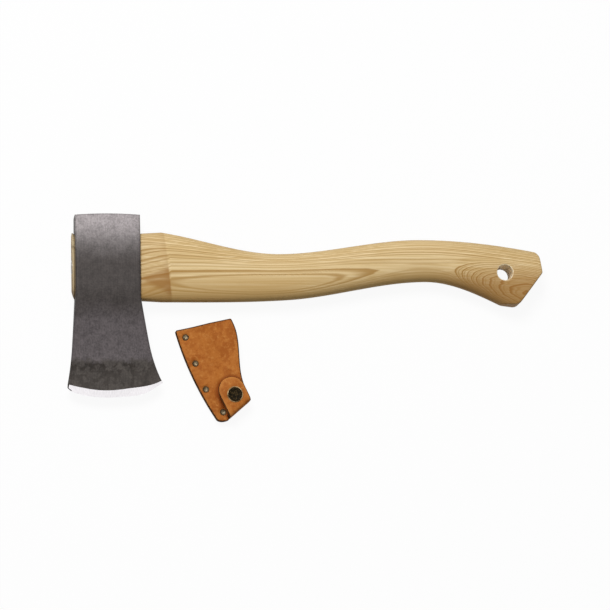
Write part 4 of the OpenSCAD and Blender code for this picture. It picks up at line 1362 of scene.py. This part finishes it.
def sheetSpots(line, pitch):  # places over a sheet and their distances from its edge
    m = meshing
    spots, gaps = list(line), [0.0] * len(line)
    for depth in easeDepths:
        for p in insetLine(line, depth):
            if abs(edgeGap(p, line) - depth) < m["crossing"]:  # rings cross near a tight inner corner
                spots.append(p)
                gaps.append(depth)
    lowU, highU = min(p.x for p in line), max(p.x for p in line)
    lowV, highV = min(p.y for p in line), max(p.y for p in line)
    for i in range(int((highV - lowV) / pitch) + 1):
        for j in range(int((highU - lowU) / pitch) + 1):
            p = Vector((lowU + (j + 0.5 * (i % 2)) * pitch, lowV + i * pitch * m["rowShare"]))
            gap = edgeGap(p, line) if insideLine(p, line) else 0.0
            if gap > easeDepths[-1] + pitch * m["edgeShare"]:
                spots.append(p)
                gaps.append(gap)
    return spots, gaps


# a closed sheet of hide with its grain, the smooth side, up or down, which a bend may fold afterwards
def hideSheet(name, line, surface, dye, pitch, grainUp=True, bend=None):
    c = cover
    grainSide, cutEdge, fleshSide = range(3)
    line = fineLine(cleanLine(line, meshing["least"]), pitch)
    spots, gaps = sheetSpots(line, pitch)
    size = len(line)
    rim = [(k, (k + 1) % size) for k in range(size)]
    flat, _, cells, origin = geometry.delaunay_2d_cdt(spots, rim, [], 1, meshing["join"])[:4]
    gapOf = [gaps[o[0]] if o else 0.0 for o in origin]
    points, faces, slots = [], [], []
    for upper in (True, False):
        start = len(points)
        soft = c["easeTop"] if upper == grainUp else c["easeLow"]
        for p, gap in zip(flat, gapOf):
            low, high = surface(p.x, p.y)
            back = max(0.0, soft - gap)
            drop = soft - math.sqrt(max(0.0, soft * soft - back * back))
            points.append((p.x, p.y, high - drop if upper else low + drop))
        for cell in cells:
            middle = sum((flat[k] for k in cell), Vector((0, 0))) / len(cell)
            if insideLine(middle, line):
                faces.append(tuple(k + start for k in (cell if upper else cell[::-1])))
                dyed = sum(gapOf[k] for k in cell) / len(cell) < dye(*middle)
                slots.append(fleshSide if upper != grainUp else cutEdge if dyed else grainSide)
    where = {}
    for k, sources in enumerate(origin):
        for source in sources:
            where.setdefault(source, k)
    loop = [where[k] for k in range(size)]
    levels = [loop]
    for share in wallShares:
        levels.append(list(range(len(points), len(points) + size)))
        for k in loop:
            a, b = Vector(points[k]), Vector(points[k + len(flat)])
            fray = c["fray"] * rough(a.x, a.y, share * 5, c["fraySize"])
            points.append(a.lerp(b, share) + Vector((fray, fray, 0)))
    levels.append([k + len(flat) for k in loop])
    for a, b in zip(levels, levels[1:]):
        for k, m in rim:
            faces.append((a[k], a[m], b[m], b[k]))
            slots.append(cutEdge)
    points = [coverPlace(*(bend(*p) if bend else p)) for p in points]
    return makePiece(name, points, faces, ("tan", "cut", "flesh"), c["crease"], slots)


def frontSurface(u, v):  # lower and upper height of the formed front panel
    c, r = cover, rivets
    wide = c["riseW"] * (1 + c["riseSpread"] * ease((v - c["spreadFrom"]) / c["spreadRun"]))
    low = c["flange"] + (plateauZ - c["flange"]) * ease((u - c["weltW"]) / wide)
    away = min(math.hypot(u - a, v - b) for a, b in rivetSpots)
    press = r["dimple"] * (1 - ease((away - r["r"]) / (r["dimpleR"] - r["r"])))
    press += r["pinPress"] * (1 - ease((away - r["pin"]) / r["pinPressRun"]))
    press += c["uneven"] * (0.5 + 0.5 * rough(u, v, 2, c["unevenSize"]))
    press += c["pebble"] * (0.5 + 0.5 * rough(u, v, 6, c["pebbleSize"]))
    return low, low + c["hide"] - press


def backSurface(u, v):
    return 0.0, cover["hide"]


def weltSurface(u, v):
    return cover["hide"] + cover["weltRoom"], 2 * cover["hide"] - cover["weltRoom"]


def frontDye(u, v):  # how far the dark edge reaches in on the grain side
    d = dyes
    heel = v < heelV(u) + d["heelClear"]
    if v > toeV(u) - d["near"] or u > mouthU(v) - d["near"] and not heel:
        return d["mouth"]
    return 0.0 if heel and u > d["seamClear"] else d["edge"]


def weltDye(u, v):
    return dyes["welt"]


# outside the strap's middle the dark edge is wider; on the flap's sides it is partly a dyed edge, partly
# painted shade beside the flap
def backDye(u, v):
    return dyes["strap"] if dyes["strapFrom"] <= u <= dyes["strapTo"] else dyes["edge"]


def buildCover():
    m = meshing
    piece = hideSheet("coverFront", panelLine(), frontSurface, frontDye, m["front"])
    belongs(piece, "edge_cover", "cover_front")
    piece = hideSheet("coverWelt", weltLine(), weltSurface, weltDye, m["welt"])
    belongs(piece, "edge_cover", "cover_welt")
    piece = hideSheet("coverBack", backLine(), backSurface, backDye, m["back"], False, foldSheet)
    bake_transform(piece)
    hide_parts("cover_back", "cover_flap")
    print("leather built")


# metal on the cover: rivets and a snap, all turned

# the last two tones darken the outer ring of each rivet face: partly antique patina, partly painted shade
# of its dimple
brassTones = dict(low=tone(72, 56, 32), high=tone(156, 141, 114), rimLow=tone(110, 82, 48),
                  rimHigh=tone(190, 160, 114), grooveLow=tone(52, 38, 22), grooveHigh=tone(96, 74, 46))
capTones = dict(black=tone(19, 14, 5), worn=tone(82, 66, 39))
brightTones = dict(dull=tone(130, 128, 126), clean=tone(172, 171, 170))
rivetDish = ((0.0, 0.0), (0.6, 0.05), (1.1, 0.16), (1.5, 0.3), (1.8, 0.44), (2.05, 0.58), (2.25, 0.6),
             (2.4, 0.46))  # radius and rise from the middle to the rim
snapCrown = ((0.0, 1.3), (2.4, 1.28), (3.8, 1.38), (4.6, 1.58), (5.0, 1.62), (5.25, 1.5), (5.38, 1.2),
             (5.42, 0.75), (5.6, 0.62), (5.9, 0.58), (6.1, 0.42))  # dished top, rolled rim and flange
stainSize = dict(brass=1.2, rim=3.5)
turnedCrease = 35.0


def agedBrass(name, low, high, size=stainSize["brass"]):
    finish, wire = newFinish(name)
    spot = place(wire)
    stain = cloud(wire, spot, size, detail=4, harsh=0.7)
    fine = cloud(wire, spot, size=0.35, detail=3, harsh=0.6)
    tint = stain.step(0.36, 0.64).blend(low, high)
    matte = 0.42 + (1 - stain.step(0.3, 0.7)) * 0.25
    shades = {"Base Color": tint, "Metallic": 0.4, "Specular IOR Level": 0.2, "Roughness": matte}
    return closeFinish(finish, wire, shades, stain * 0.6 + fine * 0.4, reach=0.05, strength=0.4)


def blackCap():
    finish, wire = newFinish("blackCap")
    spot = place(wire)
    wear = cloud(wire, spot, size=1.0, detail=4, harsh=0.7)
    fine = cloud(wire, spot, size=0.3, detail=3, harsh=0.6)
    tint = wear.step(0.48, 0.68).blend(capTones["black"], capTones["worn"])
    shades = {"Base Color": tint, "Specular IOR Level": 0.04, "Roughness": 0.45 + wear * 0.2}
    return closeFinish(finish, wire, shades, wear * 0.6 + fine * 0.4, reach=0.1, strength=0.6)


def brightSteel():
    finish, wire = newFinish("brightSteel")
    spot = place(wire)
    swirls = cloud(wire, spot, size=0.6, detail=3, harsh=0.6)
    dull = cloud(wire, spot, size=3, detail=3, harsh=0.6)
    tint = dull.step(0.3, 0.7).blend(brightTones["dull"], brightTones["clean"])
    shades = {"Base Color": tint, "Metallic": 0.95, "Roughness": 0.26 + swirls * 0.15}
    return closeFinish(finish, wire, shades, swirls, reach=0.03, strength=0.3)


def addTurned(name, profile, spot, sides, coats, firstRows=None):  # later rows take the second coat
    u, v = spot
    points, faces = turned(profile, sides, lambda a, b, z: coverPlace(u + a, v + b, z))
    slots = [int(n // sides >= firstRows) for n in range(len(faces))] if firstRows else None
    return makePiece(name, points, faces, coats, turnedCrease, slots)


def buildRivets():
    r, soft = rivets, rivets["soft"]
    top = cover["flange"] + cover["hide"] - r["dip"]
    pinLow = r["backHigh"] + r["pinLow"]
    face = [(a, top + rise) for a, rise in rivetDish]
    face += [(r["r"], top + 2 * soft), (r["r"] - soft, top - soft), (r["pin"], top - soft),
             (r["pin"], pinLow), (0.0, pinLow)]
    tube, bore = r["pin"] + r["tubeWall"], r["pin"] + r["pinRoom"]
    back = [(0.0, r["backDish"]), (r["r"] - 10 * soft, r["backDish"] / 4), (r["r"] - 2.5 * soft, 0.0),
            (r["r"], 2 * soft), (r["r"], r["backHigh"]), (tube, r["backHigh"]), (tube, r["tubeHigh"]),
            (bore, r["tubeHigh"]), (bore, r["backHigh"]), (0.0, r["backHigh"])]
    for k, spot in enumerate(rivetSpots, 1):
        # each cap face's outer ring takes darker brass, partly antique patina and partly painted shade of
        # its dimple
        piece = addTurned(f"rivetCap_{k}", face, spot, r["sides"], ("brass", "groove"), r["faceRows"])
        belongs(piece, "edge_cover", f"rivet_{k}")
        piece = addTurned(f"rivetBack_{k}", back, spot, r["sides"], ("brass",))
        belongs(piece, "edge_cover", f"rivet_back_{k}")
    print("rivets built")


def buildSnap():
    s = snap
    spot, soft = (s["u"], s["v"]), s["soft"]
    flapTop, flapLow = strap["top"], strap["top"] - cover["hide"]
    web = flapLow - s["web"]
    front = plateauZ + cover["hide"]
    profile = [(r, flapTop + rise) for r, rise in snapCrown]
    profile += [(s["r"], flapTop + 2 * soft), (s["r"] - soft, flapTop), (s["post"], flapTop),
                (s["post"], web), (0.0, web)]
    piece = addTurned("snapCap", profile, spot, s["crownSides"], ("black", "rim"), s["crownRows"])
    belongs(piece, "closing_flap", "snap_cap")
    stud, studTop = front + s["lift"], web - s["play"]
    low = stud + s["play"]
    r, bore, hole = s["socketR"], s["studR"] + s["gap"], s["post"] + s["postRoom"]
    profile = [(bore, low + soft), (bore + soft, low), (r - 3 * soft, low), (r, low + 3 * soft),
               (r, flapLow - soft), (r - soft, flapLow), (hole, flapLow), (hole, web), (bore, web),
               (bore, low + soft)]
    piece = addTurned("snapSocket", profile, spot, s["sides"], ("bright",))
    belongs(piece, "closing_flap", "snap_socket")
    r, neck, postTop = s["socketR"] - s["studIn"], s["studR"], studTop - s["studCap"]
    profile = [(hole, front), (r, front), (r, stud - 2 * soft), (r - 2 * soft, stud),
               (neck + 2.5 * soft, stud), (neck, stud + 2 * soft), (neck, studTop - 2.5 * soft),
               (neck - 2.5 * soft, studTop), (0.0, studTop), (0.0, postTop), (hole, postTop),
               (hole, front)]
    piece = addTurned("snapStud", profile, spot, s["sides"], ("bright",))
    belongs(piece, "edge_cover", "snap_stud")
    r, plate = s["socketR"] - s["plateIn"], plateauZ - s["plateT"]
    profile = [(0.0, plate), (r - 1.5 * soft, plate), (r, plate + 1.5 * soft), (r, plateauZ),
               (s["post"], plateauZ), (s["post"], postTop), (0.0, postTop)]
    piece = addTurned("snapPost", profile, spot, s["plateSides"], ("bright",))
    belongs(piece, "edge_cover", "snap_post")
    print("snap built")


finishes = dict(forged=forgedSteel("forgedSteel"), scale=forgedSteel("scaleSteel", forge["scale"]),
                ground=groundSteel(), hickory=hickoryWood("hickoryWood"),
                wedge=hickoryWood("wedgeWood", wedge["warm"]), tan=tanHide(), cut=cutHide(),
                flesh=fleshHide(), black=blackCap(), bright=brightSteel(),
                brass=agedBrass("agedBrass", brassTones["low"], brassTones["high"]),
                rim=agedBrass("rimBrass", brassTones["rimLow"], brassTones["rimHigh"], stainSize["rim"]),
                groove=agedBrass("grooveBrass", brassTones["grooveLow"], brassTones["grooveHigh"]))
print("finishes made")

setCamera()
setFloor()
setLight()
buildHead()
buildHandle()
buildWedge()
buildRingWedge()
buildCover()
buildRivets()
buildSnap()
